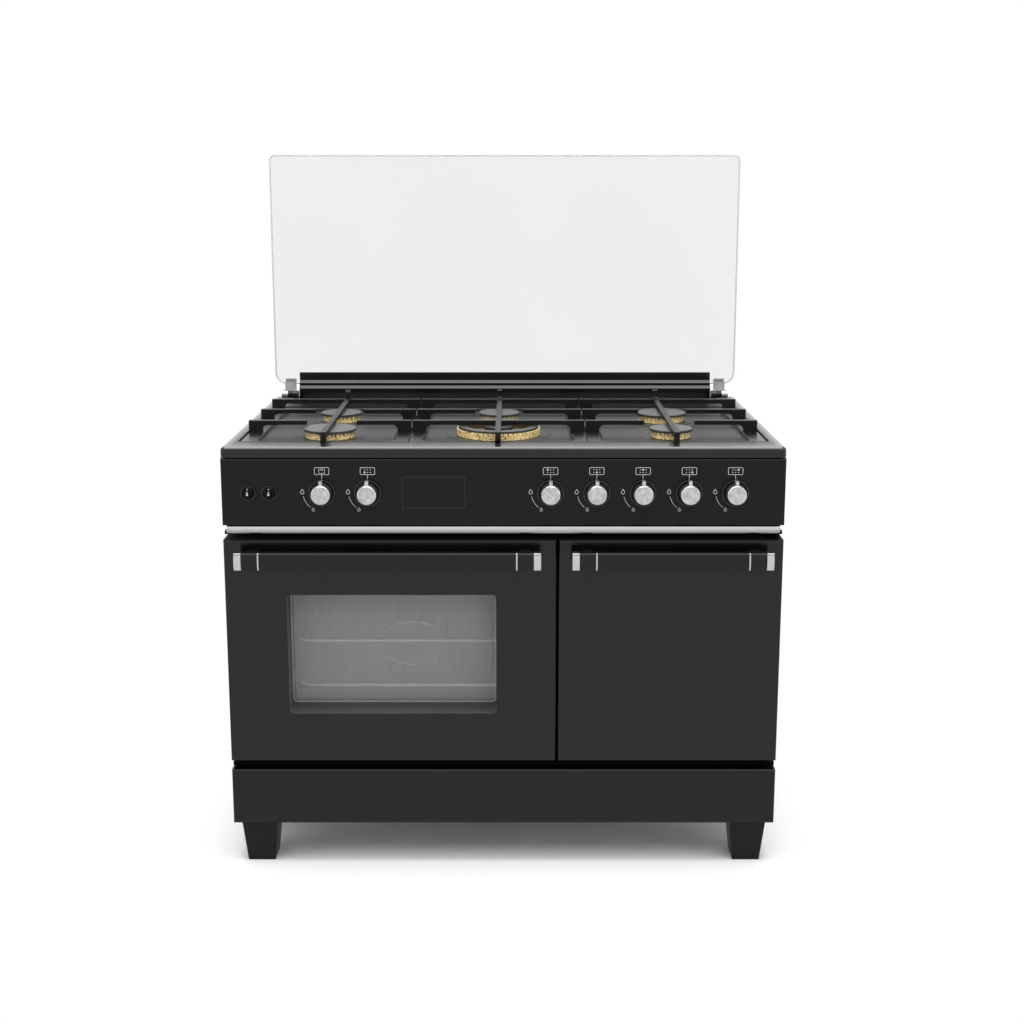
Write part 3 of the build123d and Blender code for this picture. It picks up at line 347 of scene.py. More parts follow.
hob = Finish("hob_enamel")
hob_low, hob_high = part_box("hob_top")
press_low = (hob_low.x + PRESS_SIDE, hob_low.y + PRESS_FRONT)
press_high = (hob_high.x - PRESS_SIDE, hob_low.y + PRESS_REAR)
pressed = outline_distance(hob, press_low, press_high, PRESS_CORNER)
ahead = hob.along("Y") < press_low[1] + AHEAD_MARGIN
height = hob.along("Z")
# The mask of dark lines: painted shade along the pressed outline and on the well walls, then the two dark seams.
line = (pressed > -LINE_INSIDE) * (pressed < ahead * LINE_AHEAD + LINE_OUTSIDE)
wall_low = hob_high.z - WELL_DEPTH + PAD_HEIGHT + PAD_MARGIN
line = line + (height < hob_high.z - WALL_TOP) * (height > wall_low)
centre_low, centre_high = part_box("pan_support_centre")
for seam in (centre_low.x - SEAM_GAP, centre_high.x + SEAM_GAP):
    off = hob.along("X") - seam
    line = line + (off * off < SEAM_HALF ** 2) * (pressed < 0)
print("hob lines masked")

# %% Hob enamel
FLAT_DEPTH = 0.0026
ROLL = (-0.020, -0.006)
CREST = (0.004, 0.002)
rolled = hob.fade(outline_distance(hob, hob_low, hob_high, RIM_CORNER), *ROLL)
crest = hob.fade(height, hob_high.z - CREST[0], hob_high.z - CREST[1])
flat = height > hob_high.z - FLAT_DEPTH
gloss = (hob.noise(4.0, 4.0, 0.6) - 0.5) * 0.06 + 0.50 - flat * 0.18
single["hob_top"] = hob.principled(
    Base_Color=hob.blend(line, grey(0.004), grey(0.0)),
    Roughness=gloss + rolled * (0.12 - gloss) + line * 0.50,
    Specular_IOR_Level=0.40,
    Coat_Weight=rolled * crest * 0.6,
    Coat_Roughness=0.10,
    Normal=hob.bump(hob.noise(700.0), 0.00002, 0.35),
)
print("hob enamelled")

# %% Upstand, with light painted inside its vent
VENT_FRONT, VENT_REAR = 0.022, 0.001
VENT_END = 0.003
VENT_HEIGHT = 0.020
upstand = Finish("upstand_lacquer")
upstand_low, upstand_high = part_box("rear_upstand")
across, inward = upstand.along("X"), upstand.along("Y")
painted_vent_light = (inward > upstand_low.y + VENT_FRONT) * (inward < upstand_high.y - VENT_REAR)
painted_vent_light = painted_vent_light * (across * across < (upstand_high.x - VENT_END) ** 2)
painted_vent_light = painted_vent_light * (upstand.along("Z") < upstand_low.z + VENT_HEIGHT)
# Inside the vent the black lacquer is painted grey, as painted light.
single["rear_upstand"] = upstand.principled(
    Base_Color=upstand.blend(painted_vent_light, grey(0.003), grey(0.10)),
    Roughness=upstand.noise(5.0, 3.0) * 0.06 + 0.15,
    Specular_IOR_Level=0.30,
)
print("upstand lacquered")

# %% [markdown]
# ## Cast iron, oven enamel and moulded plastic
# The pan supports are cast and enamelled matt, so their skin is pitted. Oven enamel is grey with
# pale flecks. The handles, bezels and feet are moulded plastic with a spark-eroded grain.

# %% Cast supports
cast = Finish("matt_cast_iron")
pits = cast.noise(520.0, 3.0, 0.6)
skin = cast.noise(60.0, 3.0, 0.5)
finishes["cast_support"] = cast.principled(
    Base_Color=cast.blend(skin, grey(0.004), grey(0.010)),
    Roughness=(skin - 0.5) * 0.16 + 0.38,
    Specular_IOR_Level=0.15,
    Normal=cast.bump(pits + skin * 0.6, 0.00025, 0.5),
)
print("cast iron ready")

# %% Oven enamel with pale flecks
oven = Finish("flecked_grey_enamel")
cells = oven.node("ShaderNodeTexVoronoi", None, {"Vector": oven.place(), "Scale": 420.0}, "Distance")
fleck = oven.fade(cells, 0.16, 0.10) * (oven.noise(190.0, 1.0) > 0.56)
finishes["oven_enamel"] = oven.principled(
    Base_Color=oven.blend(fleck, grey(0.30, 0.01), grey(0.38)),
    Roughness=oven.noise(30.0, 3.0) * 0.14 + 0.26,
    Normal=oven.bump(oven.noise(240.0), 0.0001, 0.3),
)
print("oven enamel ready")

# %% Moulded plastics
BUTTONS = ("button_1", "button_2")


def moulded_plastic(name, level, gloss, grain_scale, grain_depth, shine):
    """Moulded plastic with a spark-eroded grain and slight handling marks."""
    plastic = Finish(name)
    grain = plastic.noise(grain_scale, 2.0, 0.6)
    touch = plastic.noise(26.0, 3.0, 0.6)
    return plastic.principled(
        Base_Color=plastic.blend(touch, grey(level * 0.85), grey(level * 1.2)),
        Roughness=(touch - 0.5) * 0.08 + gloss,
        Specular_IOR_Level=shine,
        Normal=plastic.bump(grain, grain_depth, 0.4),
    )


finishes["black_plastic"] = moulded_plastic("grained_black_plastic", 0.003, 0.30, 1800, 0.00006, 0.29)
finishes["gloss_black"] = moulded_plastic("display_black_plastic", 0.002, 0.14, 700, 0.00001, 0.22)
finishes["gasket_rubber"] = moulded_plastic("oven_seal_rubber", 0.035, 0.72, 1200, 0.0001, 0.40)
single["control_bezels"] = moulded_plastic("bezel_black_plastic", 0.0015, 0.16, 900, 0.00002, 0.14)
single["feet"] = moulded_plastic("foot_black_plastic", 0.003, 0.36, 1800, 0.00006, 0.20)
for name in BUTTONS:
    single[name] = moulded_plastic(f"polished_{name}", 0.0015, 0.14, 700, 0.00001, 0.10)
print("castings and mouldings ready")

# %% [markdown]
# ## Bare metals
# Chrome, hinge steel, brass crowns, zinc sheet and plated rack wire are metals, so their colour is
# the colour of their mirror. What tells them apart is how the mirror is broken: a faint cloud on the
# chrome, cast grain on the aluminium and the brass, lathe rings on the knobs, and the flat crystal
# patches of zinc plating, which a Voronoi texture gives. Some carry painted reflections and painted
# shade, because the studio here isn't the photographer's and the mirrors would show otherwise: the
# handle caps are painted darker along their tops, the trim towards its foot, and the racks are dark
# everywhere but on the crest of the front bar, which has a painted highlight. The double crown is dark
# inside its outer ring. These tones follow the photograph and are no wear or dirt.

# %% Burner cups, handle caps and trim
CAP_SHADE = (0.005, 0.002)
cups = Finish("cast_aluminium")
grain = cups.noise(300.0, 3.0, 0.6)
finishes["cup_aluminium"] = cups.principled(
    Base_Color=cups.blend(grain, grey(0.52 * 0.86), grey(0.52)),
    Metallic=1.0,
    Roughness=(grain - 0.5) * 0.10 + (cups.noise(9.0, 3.0) - 0.5) * 0.05 + 0.42,
    Normal=cups.bump(grain, 0.0001, 0.25),
)

caps = Finish("satin_chrome")
cap_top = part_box("oven_handle_trim")[1].z
# The caps' tops are painted darker: a painted reflection.
painted_dark_top = caps.fade(caps.along("Z"), cap_top - CAP_SHADE[0], cap_top - CAP_SHADE[1])
finishes["chrome"] = caps.principled(
    Base_Color=caps.blend(painted_dark_top, grey(0.55, 0.025), grey(0.24, 0.02)),
    Metallic=1.0,
    Roughness=caps.noise(60.0) * 0.08 + 0.26,
)

rail = Finish("polished_rail")
rail_low, rail_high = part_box("chrome_trim")
# A painted reflection: the rail's colour runs from dark at its foot to light at its top.
painted_reflection = rail.fade(rail.along("Z"), rail_low.z, rail_high.z)
single["chrome_trim"] = rail.principled(
    Base_Color=rail.blend(painted_reflection, grey(0.26), grey(0.66)),
    Metallic=1.0,
    Roughness=rail.noise(60.0) * 0.05 + 0.08,
)
print("aluminium and chrome ready")

# %% Hinge steel and rack wire
ARM_WIDTH = 0.013
CLAMP_START = (0.010, 0.014)
FRONT_BAR = (0.020, 0.010)
BAR_CREST = 0.0025
hinge = Finish("hinge_steel")
lid_axis = next(j["pos_m"] for j in frame["joints"] if j["child"] == "lid")
arm_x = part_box("lid_hinge_arms")[1].x - ARM_WIDTH
sideways = hinge.along("X")
clamp = hinge.fade(hinge.along("Y"), lid_axis[1] + CLAMP_START[0], lid_axis[1] + CLAMP_START[1])
clamp = clamp + (sideways * sideways > arm_x ** 2)
single["lid_hinge_arms"] = hinge.principled(
    Base_Color=hinge.blend(clamp, grey(0.02), grey(0.36)),
    Metallic=1.0,
    Roughness=hinge.noise(60.0) * 0.10 + 0.33,
)

for name in ("oven_rack_lower", "oven_rack_upper"):
    wire = Finish(f"{name}_wire")
    rack_low, rack_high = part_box(name)
    # Painted shade and a painted highlight: the wire is dull grey except on the crest of the front bar, which is
    # plated metal.
    painted_crest_highlight = wire.fade(wire.along("Y"), rack_low.y + FRONT_BAR[0], rack_low.y + FRONT_BAR[1])
    painted_crest_highlight = painted_crest_highlight * (wire.along("Z") > rack_high.z - BAR_CREST)
    single[name] = wire.principled(
        Base_Color=wire.blend(painted_crest_highlight, grey(0.27, 0.02), (0.95, 0.88, 0.70, 1)),
        Metallic=painted_crest_highlight,
        Roughness=wire.noise(160.0) * 0.10 + 0.30,
    )
print("hinge steel and rack wire ready")

# %% Brass and zinc
RING_WIDTH = 0.017


def cast_brass(name, centre, dark_radius):
    """Rough speckled brass, dark nearer to an upright axis than a radius."""
    metal = Finish(name)
    grain = metal.noise(420.0, 3.0, 0.6)
    outer = metal.from_axis(centre, (1, 1, 0)) > dark_radius
    speck = metal.fade(metal.noise(330.0, 2.0, 0.6), 0.33, 0.50) * outer
    return metal.principled(
        Base_Color=metal.blend(speck, (0.10, 0.065, 0.028, 1), (1.00, 0.79, 0.37, 1)),
        Metallic=0.60,
        Roughness=grain * 0.20 + 0.40,
        Normal=metal.bump(grain, 0.0002, 0.4),
    )


finishes["brass"] = cast_brass("cast_brass", (0, 0, 0), 0)
ring_low, ring_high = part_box("centre_front_crown")
ring_inside = (ring_high.x - ring_low.x) / 2 - RING_WIDTH
single["centre_front_crown"] = cast_brass("double_ring_brass", (ring_low + ring_high) / 2, ring_inside)

zinc = Finish("zinc_plate")
patch = zinc.node("ShaderNodeTexVoronoi", None, {"Vector": zinc.place(), "Scale": 110.0}, "Color")
shade = zinc.node("ShaderNodeSeparateColor", None, {"Color": patch}, "Red")
finishes["zinc_sheet"] = zinc.principled(
    Base_Color=zinc.blend(shade, grey(0.50, -0.02), grey(0.60, -0.01)),
    Metallic=1.0,
    Roughness=shade * 0.10 + 0.34,
)
print("brass and zinc ready")

# %% [markdown]
# ## Knobs
# Each knob is turned aluminium: its face carries fine rings round its own axis. Rings need a centre,
# so every knob gets the same recipe with its joint's place as the centre, and the distance from that
# axis drives the rings.

# %% Lathe rings on the knobs
knob_axes = {j["child"]: Vector(j["pos_m"]) for j in frame["joints"] if j["child"].startswith("knob_")}


def turned_metal(name, centre):
    """Satin metal with rings round an axis along Y."""
    metal = Finish(name)
    along = metal.node("ShaderNodeCombineXYZ", None, {"X": metal.from_axis(centre, (1, 0, 1))})
    rings = metal.noise(2600.0, 2.0, 0.6, along)
    patches = metal.fade(metal.noise(110.0, 2.0), 0.36, 0.64)
    return metal.principled(
        Base_Color=metal.blend(rings * 0.4 + patches * 0.6, grey(0.40, 0.005), grey(0.66, 0.005)),
        Metallic=1.0,
        Roughness=rings * 0.12 + 0.24,
        Normal=metal.bump(rings, 0.00003, 0.4),
    )


for name, centre in knob_axes.items():
    single[name] = turned_metal(f"turned_{name}", centre)
print("turned", len(knob_axes), "knobs")

# %% [markdown]
# ## Glass
# The lid is pale tempered glass that shows as a faint grey veil against the white background. The
# oven window is smoked and picks up a grey haze from the light in front of it. Both are thin sheets,
# so a see-through share (Alpha) describes them better than bending light would, and it exports. With
# the glass every finish is there, and each node gets its own or the one of its slot.

# %% Lid and window glass
def thin_glass(name, level, share, gloss):
    """A thin tinted sheet: a veil of grey over what is behind it."""
    glass = Finish(name)
    film = glass.noise(3.0, 3.0)
    return glass.principled(
        Base_Color=glass.blend(film, grey(level * 0.97), grey(level * 1.03)),
        Roughness=gloss,
        Alpha=(film - 0.5) * 0.03 + share,
    )


finishes["lid_glass"] = thin_glass("pale_lid_glass", 0.10, 0.090, 0.12)
finishes["clear_glass"] = thin_glass("smoked_window_glass", 0.42, 0.20, 0.05)
print("finishes:", len(finishes), "by slot and", len(single), "by node")

# %% Dress every node
for part in frame["record"]["subparts"]:
    coat = nodes[part["node"]].data.materials
    coat.clear()
    coat.append(single.get(part["node"]) or finishes[part["material_slot"]])

# %% [markdown]
# ## Rules for what repeats
# Beads run along an edge, and screws and printed marks stand at given places. Geometry Nodes suit
# both: a rule is written once with named sizes, and it is run on a line or on a few points. The
# export needs plain meshes, so each result is realized and its modifier taken off again.

# %% Building and running a rule
class Rule:
    """A Geometry Nodes tree with named inputs, run on a mesh to make one plain piece."""

    def __init__(self, name, **inputs):
        self.tree = bpy.data.node_groups.new(name, "GeometryNodeTree")
        ports = self.tree.interface
        self.names = {}
        kinds = {"Geometry": "NodeSocketGeometry", **inputs}
        for label, kind in kinds.items():
            self.names[label] = ports.new_socket(label, in_out="INPUT", socket_type=kind).identifier
        ports.new_socket("Geometry", in_out="OUTPUT", socket_type="NodeSocketGeometry")
        self.entry = self.tree.nodes.new("NodeGroupInput")

    def given(self, label):
        """The rule's own input."""
        return find(self.entry.outputs, label)

    def step(self, kind, settings=None, sockets=None, out=0):
        """Add a node and hand back one of its outputs."""
        return add_node(self.tree, kind, settings, sockets, out)

    def close(self, geometry):
        """Every rule ends in plain geometry with a finish."""
        plain = self.step("GeometryNodeRealizeInstances", None, {0: geometry})
        sockets = {"Geometry": plain, "Material": self.given("Finish")}
        self.step("NodeGroupOutput", None, {"Geometry": self.step("GeometryNodeSetMaterial", None, sockets)})

    def run(self, name, mesh, **values):
        """Run the rule on a mesh and keep the result as a plain object."""
        piece = bpy.data.objects.new(name, mesh)
        scene.collection.objects.link(piece)
        modifier = piece.modifiers.new(name, "NODES")
        modifier.node_group = self.tree
        for label, value in values.items():
            modifier[self.names[label]] = value
        ready = piece.evaluated_get(bpy.context.evaluated_depsgraph_get())
        plain = bpy.data.meshes.new_from_object(ready)
        piece.modifiers.remove(modifier)
        piece.data = plain
        plain.name = name
        print(name, len(plain.polygons), "faces")
        return piece


print("rules can be built")

# %% Lines and points to run a rule on
def line_mesh(name, outline, depth):
    """A closed chain of edges through (x, z) points, all at one y."""
    mesh = bpy.data.meshes.new(name)
    edges = [(i, (i + 1) % len(outline)) for i in range(len(outline))]
    mesh.from_pydata([(x, depth, z) for x, z in outline], edges, [])
    return mesh


def point_mesh(name, points):
    """Points alone."""
    mesh = bpy.data.meshes.new(name)
    mesh.from_pydata([tuple(point) for point in points], [], [])
    return mesh


def ellipse(x, z, half_wide, half_tall, count):
    """The (x, z) points of an ellipse."""
    turns = [2 * math.pi * i / count for i in range(count)]
    return [(x + half_wide * math.cos(t), z + half_tall * math.sin(t)) for t in turns]


def rounded_corners(x0, x1, z0, z1, low_radius, high_radius, steps=7):
    """The (x, z) points of a rectangle with rounded corners, anticlockwise seen from the front."""
    centres = (
        (x1 - low_radius, z0 + low_radius, low_radius, -90),
        (x1 - high_radius, z1 - high_radius, high_radius, 0),
        (x0 + high_radius, z1 - high_radius, high_radius, 90),
        (x0 + low_radius, z0 + low_radius, low_radius, 180),
    )
    points = []
    for cx, cz, radius, start in centres:
        for i in range(steps):
            turn = math.radians(start + 90 * i / (steps - 1))
            points.append((cx + radius * math.cos(turn), cz + radius * math.sin(turn)))
    return points


print("outlines can be drawn")

# %% [markdown]
# ## Beads
# The lid's rim is ground round and looks darker than the sheet, so a thin bead follows its outline.
# The oven window sits in a soft seal, which shows as a thin grey line round the pane, and a raised
# line runs round the oval on the oven's back wall, with a painted highlight above and below and
# painted shade at its sides, as the photograph has it. All three are the same rule: a round section
# swept along a closed line.

# %% The rule for a bead
bead = Rule("bead_along_line", Radius="NodeSocketFloat", Finish="NodeSocketMaterial")
bead_path = bead.step("GeometryNodeMeshToCurve", None, {"Mesh": bead.given("Geometry")})
bead_section = bead.step(
    "GeometryNodeCurvePrimitiveCircle", None, {"Resolution": 8, "Radius": bead.given("Radius")}
)
bead_tube = bead.step("GeometryNodeCurveToMesh", None, {"Curve": bead_path, "Profile Curve": bead_section})
bead.close(bead.step("GeometryNodeSetShadeSmooth", None, {"Geometry": bead_tube}))
print("bead rule:", len(bead.tree.nodes), "nodes")

# %% Beads round the lid and the window
LID_RIM = 0.0011
LID_BEAD = 0.0017
LID_LOW_CORNER = 0.024
LID_HIGH_CORNER = 0.012
lid_low, lid_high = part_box("lid_glass")
lid_outline = rounded_corners(
    lid_low.x + LID_RIM, lid_high.x - LID_RIM, lid_low.z + LID_RIM, lid_high.z - LID_RIM,
    LID_LOW_CORNER - LID_RIM, LID_HIGH_CORNER - LID_RIM,
)
lid_rim = bead.run(
    "lid_ground_rim",
    line_mesh("lid_outline", lid_outline, (lid_low.y + lid_high.y) / 2),
    Radius=LID_BEAD,
    Finish=coated_sheet("ground_glass_edge", 0.50, 0.30, 500, 0.00003, 0.50),
)
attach(lid_rim, "lid")

WINDOW_LIP = 0.002
WINDOW_CORNER = 0.007
SILL_LIP = 0.0105
SEAL_RADIUS = 0.0018
pane_low, pane_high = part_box("oven_door_glass")
seal_outline = rounded_corners(
    pane_low.x + WINDOW_LIP, pane_high.x - WINDOW_LIP, pane_low.z + SILL_LIP, pane_high.z - WINDOW_LIP,
    WINDOW_CORNER, WINDOW_CORNER, steps=4,
)
window_seal = bead.run(
    "window_seal",
    line_mesh("window_outline", seal_outline, pane_low.y - SEAL_RADIUS),
    Radius=SEAL_RADIUS,
    Finish=moulded_plastic("window_seal_rubber", 0.22, 0.6, 900, 0.0001, 0.4),
)
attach(window_seal, "oven_door")

# %% A raised line round the oval on the oven's back wall
OVAL = (0.137, 0.092)
OVAL_RISE = 0.066
OVAL_BEAD = 0.0018
OVAL_BRIGHT = (0.030, 0.060)
CAVITY_FOOT = 0.020
WALL = 0.002
cavity_low, cavity_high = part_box("oven_cavity")
oval_x = (cavity_low.x + cavity_high.x) / 2
oval_line = ellipse(oval_x, cavity_low.z + CAVITY_FOOT + OVAL_RISE, OVAL[0] / 2, OVAL[1] / 2, 64)
edge = Finish("oval_line_enamel")
# Painted highlight and shade: the oval's colour is pale above and below its middle and dark at its sides.
beside = edge.along("X") - oval_x
darker = edge.fade(beside * beside, OVAL_BRIGHT[0] ** 2, OVAL_BRIGHT[1] ** 2)
oven_oval = bead.run(
    "oven_oval_line",
    line_mesh("oval_outline", oval_line, cavity_high.y - 2 * WALL),
    Radius=OVAL_BEAD,
    Finish=edge.principled(Base_Color=edge.blend(darker, grey(0.85), grey(0.30)), Roughness=0.35),
)
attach(oven_oval, "cooker_body")

# %% [markdown]
# ## Printed marks and painted highlights
# Every knob has the same print: a small framed sign above it, joined to the knob by a stem, and on
# its left an arc from a large flame to a small one. It is screen-printed ink, so the piece is a
# paper-thin plate on the panel. One print is drawn as flat strips and filled shapes, given its
# thickness, and set at each knob's axis by a rule. The little signs differ, so they are drawn apart.
# The painted highlights on the buttons and along the rims of the bezels, and the display's outline, use the same
# tools.

# %% Flat drawing tools
INK_BACK = 0.0001
INK_FRONT = -0.0002
STROKE = 0.0009
FINE_STROKE = 0.0008
FINEST_STROKE = 0.0007


class Print:
    """A flat drawing in x and z, which becomes a thin plate facing -Y."""

    def __init__(self):
        self.sheet = bmesh.new()

    def strip(self, line, width=STROKE, closed=False):
        """A strip of even width along a line of points."""
        count = len(line)
        rims = []
        for i, point in enumerate(line):
            before = line[i - 1] if closed or i > 0 else point
            after = line[(i + 1) % count] if closed or i < count - 1 else point
            way = (Vector(after) - Vector(before)).normalized()
            side = Vector((-way.y, way.x)) * (width / 2)
            edges = [(point[0] + s * side.x, 0, point[1] + s * side.y) for s in (1, -1)]
            rims.append([self.sheet.verts.new(edge) for edge in edges])
        for i in range(count if closed else count - 1):
            (a, b), (c, d) = rims[i], rims[(i + 1) % count]
            self.sheet.faces.new((a, b, d, c))

    def filled(self, outline):
        self.sheet.faces.new([self.sheet.verts.new((x, 0, z)) for x, z in outline])

    def flame(self, x, z, width, height):
        """The outline of a drop with its point upwards."""
        turns = [2 * math.pi * i / 20 for i in range(20)]
        self.strip([
            (x + width / 2 * 1.3 * math.sin(t) * math.sin(t / 2) ** 1.5, z + height / 2 * math.cos(t))
            for t in turns
        ], closed=True)

    def plate(self, name):
        """Give the drawing its thickness and keep it as a mesh."""
        front = list(self.sheet.verts)
        grown = bmesh.ops.extrude_face_region(self.sheet, geom=list(self.sheet.faces))
        back = [part for part in grown["geom"] if isinstance(part, bmesh.types.BMVert)]
        for vert in back:
            vert.co.y = INK_BACK
        for vert in front:
            vert.co.y = INK_FRONT
        bmesh.ops.recalc_face_normals(self.sheet, faces=self.sheet.faces)
        mesh = bpy.data.meshes.new(name)
        self.sheet.to_mesh(mesh)
        self.sheet.free()
        return mesh

    def piece(self, name, depth, finish):
        """Keep the drawing as an object at one y."""
        made = bpy.data.objects.new(name, self.plate(name))
        scene.collection.objects.link(made)
        made.data.transform(Matrix.Translation((0, depth, 0)))
        made.data.materials.append(finish)
        print(name, len(made.data.polygons), "faces")
        return made


print("drawing tools ready")

# %% The knob print
SIGN_RISE = 0.0389
SIGN_WIDE = 0.0256
SIGN_TALL = 0.0126
SIGN_CORNER = 0.0016
STEM_FOOT = 0.0246
STEM_STROKE = 0.0011
ARC_RADIUS = 0.0340
ARC_TURNS = (192, 232)
ARC_STEPS = 12
FLAMES = ((-0.0352, 0.0020, 0.0066, 0.0086), (-0.0164, -0.0305, 0.0050, 0.0060))

knob_print = Print()
sign_low, sign_high = SIGN_RISE - SIGN_TALL / 2, SIGN_RISE + SIGN_TALL / 2
knob_print.strip(
    rounded_corners(-SIGN_WIDE / 2, SIGN_WIDE / 2, sign_low, sign_high, SIGN_CORNER, SIGN_CORNER, 4),
    closed=True,
)
knob_print.strip([(0, sign_low), (0, STEM_FOOT)], STEM_STROKE)
arc = [ARC_TURNS[0] + (ARC_TURNS[1] - ARC_TURNS[0]) * i / ARC_STEPS for i in range(ARC_STEPS + 1)]
arc = [math.radians(turn) for turn in arc]
knob_print.strip([(ARC_RADIUS * math.cos(t), ARC_RADIUS * math.sin(t)) for t in arc], FINE_STROKE)
for flame in FLAMES:
    knob_print.flame(*flame)

ink = Finish("grey_ink")
mottle = ink.noise(900.0, 2.0)
grey_ink = ink.principled(Base_Color=ink.blend(mottle, grey(0.42), grey(0.56)), Roughness=mottle * 0.1 + 0.5)
print("one knob print drawn")

# %% The print set at each knob
copies = Rule("copies_on_points", Piece="NodeSocketObject", Finish="NodeSocketMaterial")
copied = copies.step("GeometryNodeObjectInfo", None, {"Object": copies.given("Piece")}, "Geometry")
copied = {"Points": copies.given("Geometry"), "Instance": copied}
copies.close(copies.step("GeometryNodeInstanceOnPoints", None, copied))
stencil = bpy.data.objects.new("stencil", knob_print.plate("knob_print"))
scene.collection.objects.link(stencil)
knob_points = point_mesh("knob_points", knob_axes.values())
knob_marks = copies.run("knob_marks", knob_points, Piece=stencil, Finish=grey_ink)
bpy.data.objects.remove(stencil)
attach(knob_marks, "cooker_body")

# %% Little signs: an oven on the first knob, and a plan of the six burners on the others
OVEN_HALF = (0.0052, 0.0040)
OVEN_CORNER = 0.0008
SHELF_INSET, SHELF_DROP = 0.0020, 0.0022
DOT_STEP = (0.0052, 0.0048)
DOT_HALF, CHOSEN_HALF = 0.0008, 0.0016
signs = Print()
for number, axis in enumerate(knob_axes.values()):
    middle = axis.z + SIGN_RISE
    if number == 0:
        x0, x1 = axis.x - OVEN_HALF[0], axis.x + OVEN_HALF[0]
        z0, z1 = middle - OVEN_HALF[1], middle + OVEN_HALF[1]
        oven_frame = rounded_corners(x0, x1, z0, z1, OVEN_CORNER, OVEN_CORNER, 3)
        signs.strip(oven_frame, FINEST_STROKE, closed=True)
        shelf = [(x0 + SHELF_INSET, z1 - SHELF_DROP), (x1 - SHELF_INSET, z1 - SHELF_DROP)]
        signs.strip(shelf, FINE_STROKE)
        continue
    for spot in range(6):
        x = axis.x + (spot // 2 - 1) * DOT_STEP[0]
        z = middle + (spot % 2 - 0.5) * DOT_STEP[1]
        half = CHOSEN_HALF if spot == number - 1 else DOT_HALF
        signs.filled([(x + a * half, z + b * half) for a, b in SQUARE])
panel_front = knob_axes["knob_1"].y
sign_marks = signs.piece("sign_marks", panel_front, grey_ink)
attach(sign_marks, "cooker_body")

# %% Painted highlights on each push button: two dots on its dome and one above it
DOME_RADIUS = 0.006
DOME_RISE = 0.0025
GLINT_DOTS = ((-0.0017, 0.0020), (0.0020, 0.0013), (0.0073, 0.0011))
for name in BUTTONS:
    low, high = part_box(name)
    x, z = (low.x + high.x) / 2, (low.z + high.z) / 2
    # Each dot is a painted highlight in grey ink. The one above the dome is set back onto the button's face.
    glint_print = Print()
    for rise, radius in GLINT_DOTS:
        glint_print.filled(ellipse(x, z + rise, radius, radius, 16))
    glint_mark = glint_print.piece(f"{name}_mark", low.y, grey_ink)
    for vert in glint_mark.data.vertices:
        vert.co.y += DOME_RISE if vert.co.z > z + DOME_RADIUS else 0
    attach(glint_mark, name)

# %% Painted highlights along the rims of the bezels
KNOB_RIM, BUTTON_RIM = 0.0229, 0.0130
BUTTON_STEP = 0.001
# Each rim is a thin grey ring on the bezel: a painted highlight of its edge.
rim_highlight = moulded_plastic("bezel_rim", 0.070, 0.35, 900, 0.00002, 0.35)
button_axes = [(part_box(name)[0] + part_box(name)[1]) / 2 for name in BUTTONS]
bezel_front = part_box("control_bezels")[0].y
rims = {
    "knob_rims": (knob_axes.values(), KNOB_RIM, bezel_front),
    "button_rims": (button_axes, BUTTON_RIM, bezel_front + BUTTON_STEP),
}
for name, (axes, radius, front) in rims.items():
    circles = Print()
    for axis in axes:
        circles.strip(ellipse(axis.x, axis.z, radius, radius, 48), FINEST_STROKE, closed=True)
    ring = circles.piece(name, front, rim_highlight)
    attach(ring, "cooker_body")

# %% The display's outline
DISPLAY_FLANGE = 0.003
DISPLAY_CORNER = 0.0012
low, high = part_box("display_window")
outline = Print()
outline.strip(
    rounded_corners(
        low.x + DISPLAY_FLANGE, high.x - DISPLAY_FLANGE, low.z + DISPLAY_FLANGE, high.z - DISPLAY_FLANGE,
        DISPLAY_CORNER, DISPLAY_CORNER, 4,
    ),
    closed=True,
)
display_rim = moulded_plastic("display_rim", 0.022, 0.4, 900, 0.00002, 0.30)
display_line = outline.piece("display_line", panel_front, display_rim)
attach(display_line, "cooker_body")

# %% [markdown]
# ## Screws
# The zinc back is held by a row of pan-head screws down each side and along the top. A screw is a
# short cylinder less a cross, which the rule cuts with a boolean before it copies the head.

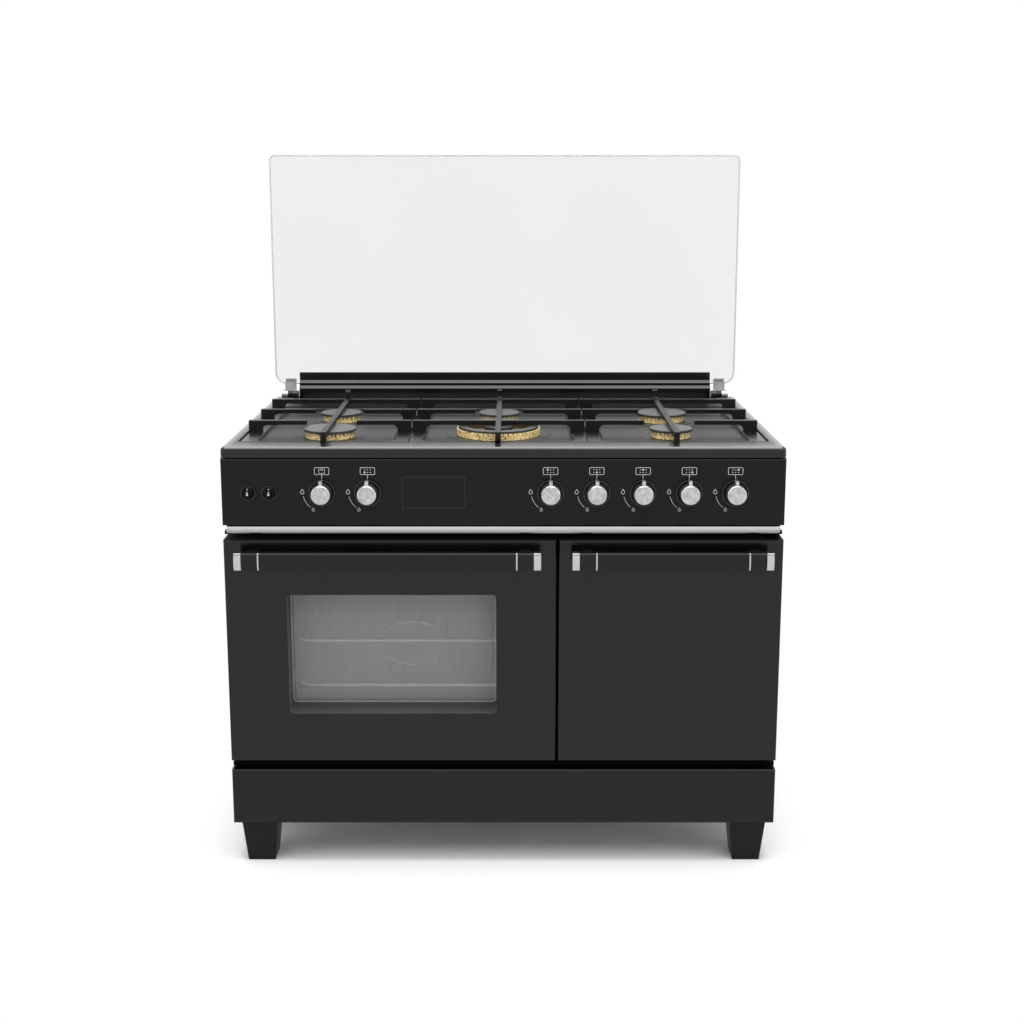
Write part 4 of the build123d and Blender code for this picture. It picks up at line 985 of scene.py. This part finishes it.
# %% The rule for cross-head screws
screw = Rule(
    "cross_head_screws",
    Radius="NodeSocketFloat",
    Height="NodeSocketFloat",
    Slot="NodeSocketFloat",
    Finish="NodeSocketMaterial",
)
head = screw.step(
    "GeometryNodeMeshCylinder",
    {"fill_type": "NGON"},
    {"Vertices": 20, "Radius": screw.given("Radius"), "Depth": screw.given("Height")},
    "Mesh",
)
lift = screw.step("ShaderNodeCombineXYZ", None, {"Z": screw.given("Slot")})
for wide, narrow in (("X", "Y"), ("Y", "X")):
    sizes = {wide: screw.given("Radius"), narrow: screw.given("Slot"), "Z": screw.given("Height")}
    size = screw.step("ShaderNodeCombineXYZ", None, sizes)
    arm = screw.step("GeometryNodeMeshCube", None, {"Size": size}, "Mesh")
    arm = screw.step("GeometryNodeTransform", None, {"Geometry": arm, "Translation": lift})
    cut = {"Mesh 1": head, "Mesh 2": arm}
    head = screw.step("GeometryNodeMeshBoolean", {"operation": "DIFFERENCE"}, cut, "Mesh")
upright = {"Points": screw.given("Geometry"), "Instance": head, "Rotation": (-math.pi / 2, 0, 0)}
screw.close(screw.step("GeometryNodeInstanceOnPoints", None, upright))
print("screw rule:", len(screw.tree.nodes), "nodes")

# %% Pan-head screws on the back
SCREW_RADIUS = 0.0042
SCREW_HEIGHT = 0.0026
SCREW_SLOT = 0.0012
SCREW_INSET = 0.012
TOP_SCREWS = (-0.24, 0.0, 0.24)
low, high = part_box("back_panel")
columns = (low.x + SCREW_INSET, high.x - SCREW_INSET)
rows = [low.z + SCREW_INSET + (high.z - low.z - 2 * SCREW_INSET) * i / 4 for i in range(5)]
spots = [(x, high.y + SCREW_HEIGHT / 2, z) for x in columns for z in rows]
spots += [(x, high.y + SCREW_HEIGHT / 2, rows[-1]) for x in TOP_SCREWS]
back_screws = screw.run(
    "back_screws",
    point_mesh("screw_points", spots),
    Radius=SCREW_RADIUS,
    Height=SCREW_HEIGHT,
    Slot=SCREW_SLOT,
    Finish=finishes["zinc_sheet"],
)
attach(back_screws, "cooker_body")

# %% [markdown]
# ## Size
# Dressing must not change the object's size.

# %% Bring the scene up to date
bpy.context.view_layer.update()
